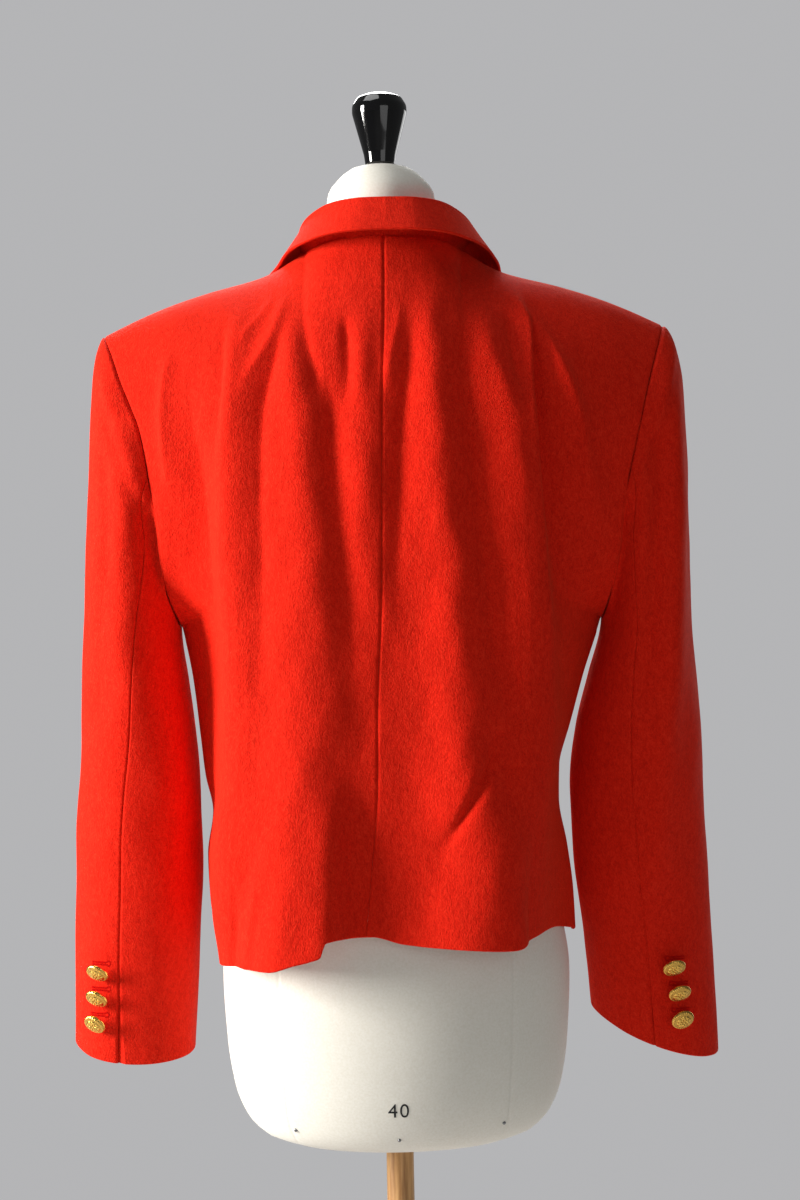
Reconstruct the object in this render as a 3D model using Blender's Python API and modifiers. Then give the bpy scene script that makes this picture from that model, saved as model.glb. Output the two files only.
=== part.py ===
"""A cropped red wool blazer on a limbless dress form, built from its cut pieces.

Metres, +Z up. The origin is on the floor under the pole, the blazer's back faces +Y and the
wearer's left is +X. Each panel is an open sheet of its outer points, given its wall inwards.
"""

import math
from collections import namedtuple

import bmesh
import bpy
from mathutils import Matrix, Vector
from mathutils.bvhtree import BVHTree

# Cloth
WALL = 0.002
SEAM = 0.0003
BESIDE = 0.0020
HEAD_SEAM = 0.00045
UNDERARM_SEAM = 0.0024
SLEEVE_SEAM = 0.0010
HEAD_FADE = 0.08
LAYER = 0.0028
LAPEL_LAYER = 0.0034
LAPEL_CROWN = 0.0022
SHOULDER_TOP = 1.367
UNDERARM = 1.100
SHOULDER_DROP = 0.120
ARMHOLE_BACK = 0.062
ARMHOLE_FRONT = -0.056
ARMHOLE_ROUND = 0.100
SIDE_STRIP = 0.992
FLANK_TOP = 1.270
FLANK_BOTTOM = 0.980
RIDGE_SHARE = 0.56
RIDGE_ROUND = 0.10
FRONT_OVERLAP = 0.015
FRONT_UNDER = 0.0044
BREAK_HEIGHT = 1.075
ROLL_TOP = 0.058
NECK_FRONT_SHARE = 0.10
LAPEL_BREAK = {+1: 1.1450, -1: 1.0500}
LAPEL_POINT_ACROSS = 0.46
CAP_DEPTH = 0.050
CAP_PUFF_FROM = 0.1
CAP_PUFF_OVER = 0.5
SEAM_SWING = 165.0
UNDER_ARC = 165.0
FOLD_LEAN = 0.9
FOLD_FADE = 0.12
NECK_HALF_WIDTH = 0.070
SHOULDER_Y = 0.003
BACK_NECK_DEPTH = 0.060
FRONT_NECK_DROP = 0.031
FRONT_NECK_DEPTH = 0.053
FRONT_NECK_HEIGHT = 1.409
VENT = 0.110
VENT_OPEN = {+1: 0.0055, -1: 0.0015}

# Stand
FORM_BOTTOM = 0.628

Sides = namedtuple("Sides", "height left right")
Line = namedtuple("Line", "key value")
Depths = namedtuple("Depths", "height centre ridge")
Fold = namedtuple("Fold", "height at rise inner outer")
Tube = namedtuple("Tube", "height outer inner centre_y half_depth")
Station = namedtuple("Station", "neck roll edge")
Ring = namedtuple("Ring", "height half_width back front roundness")
Turn = namedtuple("Turn", "radius height")

# Half widths of the armhole down to the underarm, then of the side seam
EDGE = (
    Sides(1.367, 0.2560, 0.2555),
    Sides(1.347, 0.2470, 0.2485),
    Sides(1.323, 0.2385, 0.2410),
    Sides(1.299, 0.2290, 0.2345),
    Sides(1.279, 0.2215, 0.2300),
    Sides(1.252, 0.2160, 0.2235),
    Sides(1.224, 0.2120, 0.2170),
    Sides(1.190, 0.2070, 0.2115),
    Sides(1.159, 0.2040, 0.2075),
    Sides(1.133, 0.2010, 0.2035),
    Sides(1.100, 0.1915, 0.1950),
    Sides(1.050, 0.1820, 0.1785),
    Sides(1.000, 0.1765, 0.1640),
    Sides(0.963, 0.1725, 0.1540),
    Sides(0.930, 0.1660, 0.1530),
    Sides(0.890, 0.1715, 0.1600),
    Sides(0.850, 0.1700, 0.1650),
    Sides(0.800, 0.1610, 0.1670),
)
# Where the back turns from its plane to its flank
BACK_RIDGE = (
    Sides(1.380, 0.1290, 0.1270),
    Sides(1.334, 0.1330, 0.1280),
    Sides(1.272, 0.1380, 0.1280),
    Sides(1.211, 0.1410, 0.1300),
    Sides(1.120, 0.1470, 0.1340),
    Sides(1.050, 0.1480, 0.1390),
    Sides(0.970, 0.1470, 0.1410),
    Sides(0.905, 0.1520, 0.1340),
    Sides(0.850, 0.1550, 0.1220),
    Sides(0.800, 0.1500, 0.1150),
)
BACK_DEPTH = (
    Depths(1.447, 0.078, 0.070),
    Depths(1.400, 0.094, 0.082),
    Depths(1.360, 0.103, 0.091),
    Depths(1.300, 0.112, 0.099),
    Depths(1.220, 0.120, 0.106),
    Depths(1.120, 0.122, 0.107),
    Depths(1.000, 0.120, 0.103),
    Depths(0.900, 0.122, 0.107),
    Depths(0.800, 0.127, 0.098),
)
FRONT_RIDGE = (
    Sides(1.400, 0.1300, 0.1300),
    Sides(1.200, 0.1290, 0.1290),
    Sides(1.050, 0.1330, 0.1320),
    Sides(0.800, 0.1400, 0.1380),
)
FRONT_DEPTH = (
    Depths(1.447, -0.062, -0.050),
    Depths(1.400, -0.078, -0.064),
    Depths(1.360, -0.093, -0.078),
    Depths(1.300, -0.113, -0.094),
    Depths(1.220, -0.129, -0.107),
    Depths(1.150, -0.133, -0.110),
    Depths(1.050, -0.128, -0.104),
    Depths(0.950, -0.124, -0.098),
    Depths(0.800, -0.124, -0.096),
)
# Height of the shoulder line and, nearer the centre, of the neckline, by distance from the centre
SHOULDER = (
    Line(0.000, 1.4470),
    Line(0.035, 1.4460),
    Line(0.070, 1.4400),
    Line(0.085, 1.4320),
    Line(0.096, 1.4250),
    Line(0.113, 1.4175),
    Line(0.160, 1.4050),
    Line(0.193, 1.3945),
    Line(0.222, 1.3830),
    Line(0.256, 1.3670),
)
CENTRE_SEAM = (
    Line(0.820, 0.026),
    Line(0.885, 0.019),
    Line(0.950, 0.013),
    Line(1.033, 0.011),
    Line(1.120, 0.006),
    Line(1.207, 0.004),
    Line(1.295, 0.002),
    Line(1.383, -0.001),
    Line(1.447, -0.002),
)
# Height of the back's hem across the blazer, from its right side to its left
BACK_HEM = (
    Line(-0.168, 0.8160),
    Line(-0.142, 0.8240),
    Line(-0.121, 0.8210),
    Line(-0.094, 0.8150),
    Line(-0.065, 0.8177),
    Line(-0.026, 0.8225),
    Line(-0.004, 0.8290),
    Line(0.030, 0.8285),
    Line(0.0405, 0.8270),
    Line(0.0455, 0.8150),
    Line(0.0520, 0.8125),
    Line(0.068, 0.8085),
    Line(0.091, 0.8020),
    Line(0.128, 0.8026),
    Line(0.161, 0.8000),
)
FRONT_HEM_SIDE = (0.8000, 0.8160)
FRONT_HEM = 0.8240
FRONT_HEM_EASE = 0.85
# The back's folds, each a ridge or a hollow that runs down the cloth. `at` is its place across the
# blazer, `rise` its height, and inner and outer are its widths towards -X and towards +X.
BACK_FOLDS = {
    "left_ridge": (
        Fold(1.390, 0.129, 0.0000, 0.010, 0.010),
        Fold(1.350, 0.131, 0.0050, 0.010, 0.010),
        Fold(1.270, 0.137, 0.0050, 0.013, 0.014),
        Fold(1.120, 0.147, 0.0040, 0.016, 0.012),
        Fold(0.950, 0.149, 0.0030, 0.018, 0.012),
        Fold(0.800, 0.152, 0.0010, 0.018, 0.012),
    ),
    "left_flare": (
        Fold(1.390, 0.088, 0.0000, 0.012, 0.010),
        Fold(1.349, 0.084, 0.0040, 0.014, 0.012),
        Fold(1.268, 0.074, 0.0060, 0.020, 0.018),
        Fold(1.120, 0.070, 0.0085, 0.030, 0.028),
        Fold(0.981, 0.073, 0.0120, 0.032, 0.036),
        Fold(0.890, 0.083, 0.0210, 0.040, 0.038),
        Fold(0.800, 0.090, 0.0280, 0.046, 0.036),
    ),
    "left_of_seam": (
        Fold(1.390, 0.018, 0.0000, 0.012, 0.012),
        Fold(1.340, 0.018, 0.0035, 0.012, 0.012),
        Fold(1.268, 0.017, 0.0040, 0.015, 0.018),
        Fold(1.180, 0.016, 0.0025, 0.016, 0.018),
        Fold(1.090, 0.014, 0.0000, 0.016, 0.018),
    ),
    "right_flare": (
        Fold(1.390, -0.042, 0.0000, 0.012, 0.012),
        Fold(1.349, -0.043, 0.0040, 0.014, 0.012),
        Fold(1.268, -0.046, 0.0060, 0.020, 0.018),
        Fold(1.120, -0.060, 0.0075, 0.028, 0.024),
        Fold(0.981, -0.063, 0.0100, 0.036, 0.030),
        Fold(0.890, -0.084, 0.0190, 0.034, 0.044),
        Fold(0.810, -0.082, 0.0290, 0.036, 0.056),
    ),
    "right_shoulder_blade": (
        Fold(1.390, -0.088, 0.0000, 0.012, 0.012),
        Fold(1.349, -0.093, 0.0045, 0.012, 0.012),
        Fold(1.268, -0.113, 0.0065, 0.018, 0.016),
        Fold(1.120, -0.130, 0.0065, 0.012, 0.022),
        Fold(1.000, -0.138, 0.0035, 0.010, 0.022),
        Fold(0.900, -0.136, 0.0000, 0.010, 0.022),
    ),
    "right_flank_hollow": (
        Fold(1.390, -0.136, 0.0000, 0.010, 0.010),
        Fold(1.345, -0.138, -0.0045, 0.010, 0.010),
        Fold(1.268, -0.143, -0.0070, 0.013, 0.013),
        Fold(1.180, -0.149, -0.0050, 0.014, 0.014),
        Fold(1.090, -0.150, 0.0000, 0.014, 0.014),
    ),
}
# Stations across each half of the back, closer together where the left flare folds over
BACK_COLUMNS = {
    +1: (
        *(0.0, 0.008, 0.045, 0.085, 0.120, 0.140, 0.152, 0.164, 0.176, 0.190, 0.215, 0.260),
        *(0.310, 0.365, 0.420, 0.475, 0.530, 0.590, 0.660, 0.750, 0.850, 0.992, 1.0),
    ),
    -1: (
        *(0.0, 0.008, 0.055, 0.110, 0.165, 0.220, 0.275, 0.330, 0.380, 0.430, 0.480, 0.530),
        *(0.580, 0.630, 0.690, 0.760, 0.840, 0.920, 0.992, 1.0),
    ),
}
FRONT_COLUMNS = {
    side: (0.0, 0.008, 0.100, 0.200, 0.300, 0.400, 0.500, 0.600, 0.700, 0.800, 0.900, 0.992, 1.0)
    for side in (+1, -1)
}
STEEP_FOLD = "left_flare"
STEEP_TOP = 0.980
STEEP_BOTTOM = 0.880
STEEP_POWER = 6.0

SLEEVE_LEFT = (
    Tube(1.367, 0.2650, 0.1960, 0.000, 0.062),
    Tube(1.290, 0.2705, 0.1960, 0.000, 0.064),
    Tube(1.220, 0.2745, 0.1960, 0.000, 0.066),
    Tube(1.100, 0.2810, 0.1925, -0.002, 0.066),
    Tube(1.050, 0.2840, 0.1860, -0.004, 0.064),
    Tube(1.000, 0.2855, 0.1805, -0.007, 0.061),
    Tube(0.940, 0.2910, 0.1770, -0.012, 0.057),
    Tube(0.870, 0.2950, 0.1775, -0.019, 0.052),
    Tube(0.800, 0.2980, 0.1825, -0.027, 0.047),
    Tube(0.690, 0.3020, 0.1900, -0.039, 0.042),
)
SLEEVE_RIGHT = (
    Tube(1.367, 0.2700, 0.1990, 0.000, 0.062),
    Tube(1.290, 0.2742, 0.1990, 0.000, 0.064),
    Tube(1.220, 0.2760, 0.1990, 0.000, 0.066),
    Tube(1.100, 0.2772, 0.1960, -0.002, 0.067),
    Tube(1.050, 0.2815, 0.1825, -0.004, 0.064),
    Tube(1.000, 0.2850, 0.1700, -0.007, 0.060),
    Tube(0.940, 0.2870, 0.1640, -0.012, 0.056),
    Tube(0.870, 0.2900, 0.1680, -0.019, 0.052),
    Tube(0.800, 0.2940, 0.1760, -0.027, 0.047),
    Tube(0.690, 0.2995, 0.1860, -0.039, 0.042),
)
# Turn of each sleeve's back seam round its tube, in degrees from the outer side
BACK_SEAM = {
    +1: (
        Line(0.690, 77.0),
        Line(0.890, 78.0),
        Line(0.945, 81.0),
        Line(1.000, 87.0),
        Line(1.053, 94.0),
        Line(1.107, 104.0),
        Line(1.178, 117.0),
        Line(1.2335, 90.0),
    ),
    -1: (
        Line(0.690, 95.0),
        Line(0.890, 97.0),
        Line(1.000, 102.0),
        Line(1.107, 112.0),
        Line(1.178, 117.0),
        Line(1.2335, 90.0),
    ),
}
FRONT_SEAM = -105.0
Cuff = namedtuple("Cuff", "height across along")
CUFFS = {+1: Cuff(0.713, 0.006, -0.013), -1: Cuff(0.7185, -0.0225, -0.012)}

# Height of the lapel's top edge, from the roll line (0) through the notch to its point (1)
LAPEL_TOP_EDGE = (
    Line(0.00, 1.3530),
    Line(0.10, 1.3370),
    Line(0.25, 1.3255),
    Line(0.50, 1.3315),
    Line(0.75, 1.3310),
    Line(1.00, 1.3230),
)
# The collar's stand at the neck, its fold and the edge of its fall, from the centre back round to
# the shoulder. In front of that the edge lies on the chest.
COLLAR = (
    Station((0.0000, 0.0580, 1.4494), (0.0000, 0.0700, 1.4800), (0.0000, 0.0900, 1.4490)),
    Station((0.0250, 0.0550, 1.4492), (0.0265, 0.0665, 1.4798), (0.0280, 0.0885, 1.4485)),
    Station((0.0445, 0.0440, 1.4478), (0.0500, 0.0540, 1.4775), (0.0550, 0.0780, 1.4465)),
    Station((0.0580, 0.0305, 1.4460), (0.0670, 0.0360, 1.4710), (0.0780, 0.0560, 1.4420)),
    Station((0.0650, 0.0160, 1.4442), (0.0765, 0.0170, 1.4635), (0.0920, 0.0310, 1.4375)),
    Station((0.0675, 0.0030, 1.4422), (0.0800, -0.0010, 1.4545), (0.1005, 0.0060, 1.4310)),
)
COLLAR_SHIFT = -0.0050
COLLAR_FOLD = 0.0075
COLLAR_SHIFT_FROM = 0.56
COLLAR_SHIFT_TO = 0.72
COLLAR_FREE = 0.45
GORGE_SEAM = 0.0042
# Where the collar's edge, and the line halfway to it, lie on the front, and how far off it
Rest = namedtuple("Rest", "edge_x edge_z middle_x middle_z lift stand")
COLLAR_FRONT = (
    Rest(0.1065, 1.4165, 0.0930, 1.4225, 0.0060, 0.012),
    Rest(0.1120, 1.4105, 0.0910, 1.4130, 0.0052, 0.010),
    Rest(0.1180, 1.4045, 0.0930, 1.4010, 0.0044, 0.007),
    Rest(0.1240, 1.3985, 0.0965, 1.3870, 0.0040, 0.003),
)

# The form's rings: half widths, depths and how round each is (2 is an ellipse, less a lens)
FORM = (
    Ring(1.5195, 0.0160, 0.016, 0.016, 2.0),
    Ring(1.5165, 0.0270, 0.027, 0.026, 2.0),
    Ring(1.5060, 0.0400, 0.040, 0.039, 2.0),
    Ring(1.4940, 0.0485, 0.048, 0.045, 2.0),
    Ring(1.4700, 0.0515, 0.051, 0.048, 2.0),
    Ring(1.4480, 0.0550, 0.053, 0.048, 2.0),
    Ring(1.4370, 0.0600, 0.054, 0.0465, 1.5),
    Ring(1.4290, 0.0775, 0.056, 0.0465, 1.25),
    Ring(1.4222, 0.0940, 0.060, 0.0475, 1.25),
    Ring(1.4143, 0.1130, 0.067, 0.057, 1.35),
    Ring(1.4020, 0.1340, 0.074, 0.063, 1.6),
    Ring(1.3750, 0.1550, 0.084, 0.073, 1.8),
    Ring(1.3400, 0.1720, 0.094, 0.085, 2.0),
    Ring(1.2900, 0.1750, 0.102, 0.099, 2.0),
    Ring(1.2300, 0.1670, 0.106, 0.114, 2.0),
    Ring(1.1600, 0.1540, 0.106, 0.120, 2.0),
    Ring(1.1000, 0.1390, 0.101, 0.110, 2.0),
    Ring(1.0300, 0.1230, 0.093, 0.096, 2.0),
    Ring(0.9800, 0.1180, 0.090, 0.092, 2.0),
    Ring(0.9200, 0.1280, 0.097, 0.095, 2.0),
    Ring(0.8500, 0.1480, 0.109, 0.100, 2.0),
    Ring(0.7800, 0.1590, 0.114, 0.103, 2.0),
    Ring(0.7200, 0.1560, 0.112, 0.101, 2.0),
    Ring(0.6800, 0.1500, 0.107, 0.096, 2.0),
    Ring(0.6540, 0.1400, 0.099, 0.088, 2.0),
    Ring(0.6360, 0.1230, 0.087, 0.076, 2.0),
    Ring(0.6280, 0.1010, 0.071, 0.061, 2.0),
)
FORM_SEGMENTS = 36

# Turned profiles run down the outer side, from the axis at the top to the axis at the bottom
FINIAL = (
    Turn(0.0000, 1.5860),
    Turn(0.0120, 1.5857),
    Turn(0.0205, 1.5825),
    Turn(0.0250, 1.5750),
    Turn(0.0252, 1.5680),
    Turn(0.0190, 1.5450),
    Turn(0.0150, 1.5300),
    Turn(0.0136, 1.5200),
    Turn(0.0000, 1.5200),
)
POLE = (
    Turn(0.0000, 0.6276),
    Turn(0.0125, 0.6276),
    Turn(0.0125, 0.0500),
    Turn(0.0000, 0.0500),
)
BASE = (
    Turn(0.0000, 0.0496),
    Turn(0.0250, 0.0496),
    Turn(0.0280, 0.0450),
    Turn(0.0280, 0.0290),
    Turn(0.0400, 0.0250),
    Turn(0.1900, 0.0200),
    Turn(0.2000, 0.0120),
    Turn(0.1990, 0.0000),
    Turn(0.0000, 0.0000),
)
# A button's domed face, its back and the shank that stands it off the cloth
BUTTON_FACE = (
    Turn(0.0000, 0.0050),
    Turn(0.0060, 0.0044),
    Turn(0.0108, 0.0014),
    Turn(0.0104, -0.0004),
    Turn(0.0020, -0.0010),
)
SHANK_RADIUS = 0.0020
BUTTON_TURNS = 14
Button = namedtuple("Button", "height turn droop")
CUFF_BUTTONS = {
    +1: (Button(0.7860, 62.0, 44.0), Button(0.7620, 61.5, 44.0), Button(0.7380, 60.0, 38.0)),
    -1: (Button(0.7810, 76.0, 46.0), Button(0.7570, 73.0, 46.0), Button(0.7320, 72.0, 36.0)),
}
CUFF_BUTTON_LIFT = 0.0090
FRONT_BUTTONS = (Button(1.035, 0.0, 0.0), Button(0.940, 0.0, 0.0))
FRONT_BUTTON_SCALE = 1.10
FRONT_BUTTON_LIFT = 0.0048
STEM_GAP = 0.0009

COLOURS = {
    "red wool": ((0.72, 0.012, 0.006), 0.85, 0.0),
    "linen": ((0.80, 0.77, 0.70), 0.80, 0.0),
    "gold": ((0.83, 0.60, 0.22), 0.25, 1.0),
    "black lacquer": ((0.006, 0.006, 0.007), 0.08, 0.0),
    "beech": ((0.72, 0.50, 0.31), 0.45, 0.0),
}


def along(rows, key, column):
    """The rows' named column at `key`, on a smooth line that never overshoots them."""
    points = sorted((row[0], getattr(row, column)) for row in rows)
    if key <= points[0][0]:
        return points[0][1]
    if key >= points[-1][0]:
        return points[-1][1]
    slopes = [(b[1] - a[1]) / (b[0] - a[0]) for a, b in zip(points, points[1:])]
    i = next(n for n in range(len(slopes)) if key <= points[n + 1][0])
    tangents = []
    for n in (i, i + 1):
        before = slopes[max(n - 1, 0)]
        after = slopes[min(n, len(slopes) - 1)]
        level = before * after <= 0
        tangents.append(0.0 if level else 2 * before * after / (before + after))
    step = points[i + 1][0] - points[i][0]
    t = (key - points[i][0]) / step
    rise = points[i + 1][1] - points[i][1]
    ease = t * t * (3 - 2 * t)
    start = t * (1 - t) * (1 - t) * tangents[0] * step
    end = t * t * (t - 1) * tangents[1] * step
    return points[i][1] + ease * rise + start + end


def eased(t):
    t = min(max(t, 0.0), 1.0)
    return t * t * (3 - 2 * t)


def side_name(side):
    return "left" if side > 0 else "right"


def armhole_depth(height):
    """How far the armhole's edge stands from the side, from 0 at the underarm to 1."""
    up = min(max((height - UNDERARM) / ARMHOLE_ROUND, 0.0), 1.0)
    return math.sqrt(1 - (1 - up) ** 2)


def shoulder_share(height):
    """From 0 on the shoulder line to 1 where the cloth has rolled over it."""
    drop = min(max((SHOULDER_TOP - height) / SHOULDER_DROP, 0.0), 1.0)
    return math.sqrt(1 - (1 - drop) ** 2)


def neck_depth(x, depth):
    """Y of the neckline, a quarter ellipse, and then of the shoulder line."""
    near = min(abs(x) / NECK_HALF_WIDTH, 1.0)
    return SHOULDER_Y + (depth - SHOULDER_Y) * math.sqrt(1 - near * near)


def flank_depth(height):
    """The armhole's depth as the flank beside it feels it, with no sudden turn at the underarm."""
    return eased((height - FLANK_BOTTOM) / (FLANK_TOP - FLANK_BOTTOM))


def section(across, ridge, edge, centre_depth, ridge_depth, edge_depth, flank=None):
    """A point of the level section, from the centre (0) over its ridge to its edge (1)."""
    flank = edge_depth if flank is None else flank

    def sharp(s):
        s = abs(s)
        if s < RIDGE_SHARE:
            u = s / RIDGE_SHARE
            return ridge * u, centre_depth + (ridge_depth - centre_depth) * u * u
        u = (s - RIDGE_SHARE) / (1 - RIDGE_SHARE)
        near = eased((u - 0.35) / 0.65)
        depth = flank + (edge_depth - flank) * near
        return ridge + (edge - ridge) * u, ridge_depth + (depth - ridge_depth) * u

    reach = RIDGE_ROUND * min(1.0, across / RIDGE_ROUND, (1 - across) / RIDGE_ROUND)
    taps = (-1.0, -0.6, -0.2, 0.2, 0.6, 1.0)
    spots = [sharp(across + reach * tap) for tap in taps]
    return sum(p[0] for p in spots) / len(taps), sum(p[1] for p in spots) / len(taps)


def fold_rise(x, height):
    """How far the back's folds stand out at a place across and a height."""
    total = 0.0
    for name, rows in BACK_FOLDS.items():
        rise = along(rows, height, "rise")
        from_ridge = x - along(rows, height, "at")
        width = along(rows, height, "inner" if from_ridge < 0 else "outer")
        power = 2.0
        if name == STEEP_FOLD and from_ridge < 0:
            steep = eased((STEEP_TOP - height) / (STEEP_TOP - STEEP_BOTTOM))
            power += (STEEP_POWER - power) * steep
        total += rise * math.exp(-abs(from_ridge / width) ** power)
    return total


def row_share(height, side):
    """A row's share of the way down, from its height at the panel's outer edge."""
    hem = FRONT_HEM_SIDE[0] if side > 0 else FRONT_HEM_SIDE[1]
    return (SHOULDER_TOP - height) / (SHOULDER_TOP - hem)


def back_base(side, across, height):
    """The back without its folds: a point, and the row's share of the way down."""
    down = row_share(height, side)
    half = "left" if side > 0 else "right"
    rolled = shoulder_share(height)
    edge_depth = ARMHOLE_BACK * armhole_depth(height)
    ridge = along(BACK_RIDGE, height, half)
    edge = along(EDGE, height, half)
    x = section(across, ridge, edge, 0.0, 0.0, 0.0)[0]
    top_ridge = along(BACK_RIDGE, SHOULDER_TOP, half)
    top_edge = along(EDGE, SHOULDER_TOP, half)
    top = along(SHOULDER, section(across, top_ridge, top_edge, 0.0, 0.0, 0.0)[0], "value")
    hem = along(BACK_HEM, side * x, "value")
    z = top - down * (top - hem)
    centre_depth = along(BACK_DEPTH, z, "centre")
    ridge_depth = along(BACK_DEPTH, z, "ridge")
    flank = ARMHOLE_BACK * flank_depth(height)
    full = section(across, ridge, edge, centre_depth, ridge_depth, edge_depth, flank)[1]
    y = (1 - rolled) * neck_depth(x, BACK_NECK_DEPTH) + rolled * full
    lean = along(CENTRE_SEAM, z, "value")
    return Vector((side * x + lean * (1 - across) ** 2, y, z))


def surface_tree(place, columns, rows, turned):
    """A panel's outer face as its solid has it, for what lies on it."""
    spots = [place(across, height) for height in rows for across in columns]
    wide = len(columns)
    corners = (0, 1, wide + 1, wide)
    starts = [j * wide + i for j in range(len(rows) - 1) for i in range(wide - 1)]
    faces = [[start + corner for corner in corners] for start in starts]
    if turned:
        faces = [face[::-1] for face in faces]
    return BVHTree.FromPolygons(spots, faces)


def rested(spot, trees, lift):
    """The spot moved out of the panels under it until it stands `lift` off them."""
    for tree in trees * 2:
        near, normal = tree.find_nearest(spot)[:2]
        off = spot - near
        beside = (off - normal * off.dot(normal)).length
        if off.dot(normal) < lift and beside < BESIDE:
            spot = spot + normal * (lift - off.dot(normal))
    return spot


def back_point(side, across, height):
    spot = back_base(side, across, height)
    rise = fold_rise(spot.x, spot.z) * shoulder_share(height)
    rise *= eased((1 - across) / FOLD_FADE)
    lean = FOLD_LEAN * eased(across / RIDGE_SHARE) ** 2
    push = Vector((side * math.sin(lean), math.cos(lean), 0.0))
    return spot + rise * push


def front_edge(height):
    """Where the front's inner edge lies: the roll line, then the overlap past the centre."""
    up = (height - BREAK_HEIGHT) / (FRONT_NECK_HEIGHT - BREAK_HEIGHT)
    up = min(max(up, 0.0), 1.0)
    return -FRONT_OVERLAP + (ROLL_TOP + FRONT_OVERLAP) * up ** 1.15


def front_top(side, across):
    """Y and height of the front's neckline and shoulder line."""
    down_neck = max(1 - across / NECK_FRONT_SHARE, 0.0)
    if down_neck <= 0:
        edge = along(EDGE, SHOULDER_TOP, side_name(side))
        share = (across - NECK_FRONT_SHARE) / (1 - NECK_FRONT_SHARE)
        across_shoulder = NECK_HALF_WIDTH + (edge - NECK_HALF_WIDTH) * share
        return SHOULDER_Y, along(SHOULDER, across_shoulder, "value")
    corner = along(SHOULDER, NECK_HALF_WIDTH, "value")
    y = SHOULDER_Y - FRONT_NECK_DEPTH * down_neck
    return y, corner - FRONT_NECK_DROP * down_neck ** 1.3


def front_point(side, across, height):
    half = "left" if side > 0 else "right"
    down = row_share(height, side)
    rolled = shoulder_share(height)
    edge_depth = ARMHOLE_FRONT * armhole_depth(height)
    ridge = along(FRONT_RIDGE, height, half)
    edge = along(EDGE, height, half)
    inner_height = FRONT_NECK_HEIGHT - down * (FRONT_NECK_HEIGHT - FRONT_HEM)
    inner = front_edge(inner_height)
    plain = section(across, ridge, edge, 0.0, 0.0, 0.0)[0]
    x = inner + (plain / edge) * (edge - inner)
    if across < NECK_FRONT_SHARE:
        neck_x = inner + (NECK_HALF_WIDTH - ROLL_TOP) * (across / NECK_FRONT_SHARE)
        x = x + (neck_x - x) * (1 - rolled)
    elif rolled < 1:
        share = (across - NECK_FRONT_SHARE) / (1 - NECK_FRONT_SHARE)
        x = x + (NECK_HALF_WIDTH + (edge - NECK_HALF_WIDTH) * share - x) * (1 - rolled)
    top_y, top = front_top(side, across)
    side_hem = FRONT_HEM_SIDE[0] if side > 0 else FRONT_HEM_SIDE[1]
    hem = side_hem + (FRONT_HEM - side_hem) * eased((1 - across) / FRONT_HEM_EASE)
    z = top - down * (top - hem)
    centre_depth = along(FRONT_DEPTH, z, "centre")
    ridge_depth = along(FRONT_DEPTH, z, "ridge")
    flank = ARMHOLE_FRONT * flank_depth(height)
    full = section(across, ridge, edge, centre_depth, ridge_depth, edge_depth, flank)[1]
    y = (1 - rolled) * top_y + rolled * full
    if side > 0:
        y += FRONT_UNDER * eased((0.050 - x) / 0.030)
    return Vector((side * x, y, z))


def sleeve_tube(side, turn, height):
    """A point of the sleeve's own tube, `turn` degrees round it from its outer side."""
    rows = SLEEVE_LEFT if side > 0 else SLEEVE_RIGHT
    outer = along(rows, height, "outer")
    inner = along(rows, height, "inner")
    angle = math.radians(turn)
    x = (outer + inner) / 2 + (outer - inner) / 2 * math.cos(angle)
    y = along(rows, height, "centre_y") + along(rows, height, "half_depth") * math.sin(angle)
    return Vector((side * x, y, height))


def armhole_height(turn):
    """Height of the armhole's edge, by the turn round the sleeve."""
    middle = (SHOULDER_TOP + UNDERARM) / 2
    return middle + (SHOULDER_TOP - UNDERARM) / 2 * math.cos(math.radians(turn))


def armhole_point(side, turn):
    height = armhole_height(turn)
    half = "left" if side > 0 else "right"
    depth = ARMHOLE_BACK if math.sin(math.radians(turn)) > 0 else ARMHOLE_FRONT
    y = depth * armhole_depth(height) * shoulder_share(height)
    top = neck_depth(0.2, 0.0) * (1 - shoulder_share(height))
    return Vector((side * along(EDGE, height, half), y + top, height))


def cuff_height(side, turn):
    cuff = CUFFS[side]
    angle = math.radians(turn)
    return cuff.height + cuff.across * math.cos(angle) + cuff.along * math.sin(angle)


def sleeve_point(side, turn, down):
    """A point of the sleeve, `down` from the armhole (0) to the cuff (1)."""
    start = armhole_point(side, turn)
    height = start.z + (cuff_height(side, turn) - start.z) * down
    drop = min((start.z - height) / CAP_DEPTH, 1.0)
    puffed = eased((math.cos(math.radians(turn)) - CAP_PUFF_FROM) / CAP_PUFF_OVER)
    left = (1 - drop) ** 2
    left += (1 - math.sqrt(1 - left) - left) * puffed
    near = max(1 - abs(turn - 90.0) / SEAM_SWING, 0.0)
    turned = turn + near * (along(BACK_SEAM[side], height, "value") - 90.0)
    turned_at_start = turn + near * (along(BACK_SEAM[side], start.z, "value") - 90.0)
    gap = start - sleeve_tube(side, turned_at_start, start.z)
    return sleeve_tube(side, turned, height) + gap * left


def material(name):
    colour, roughness, metallic = COLOURS[name]
    made = bpy.data.materials.new(name)
    made.use_nodes = True
    shader = made.node_tree.nodes["Principled BSDF"]
    shader.inputs["Base Color"].default_value = (*colour, 1.0)
    shader.inputs["Roughness"].default_value = roughness
    shader.inputs["Metallic"].default_value = metallic
    return made


def add_object(name, mesh, finish, collection):
    piece = bpy.data.objects.new(name, mesh)
    piece.data.materials.append(finish)
    collection.objects.link(piece)
    return piece


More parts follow.
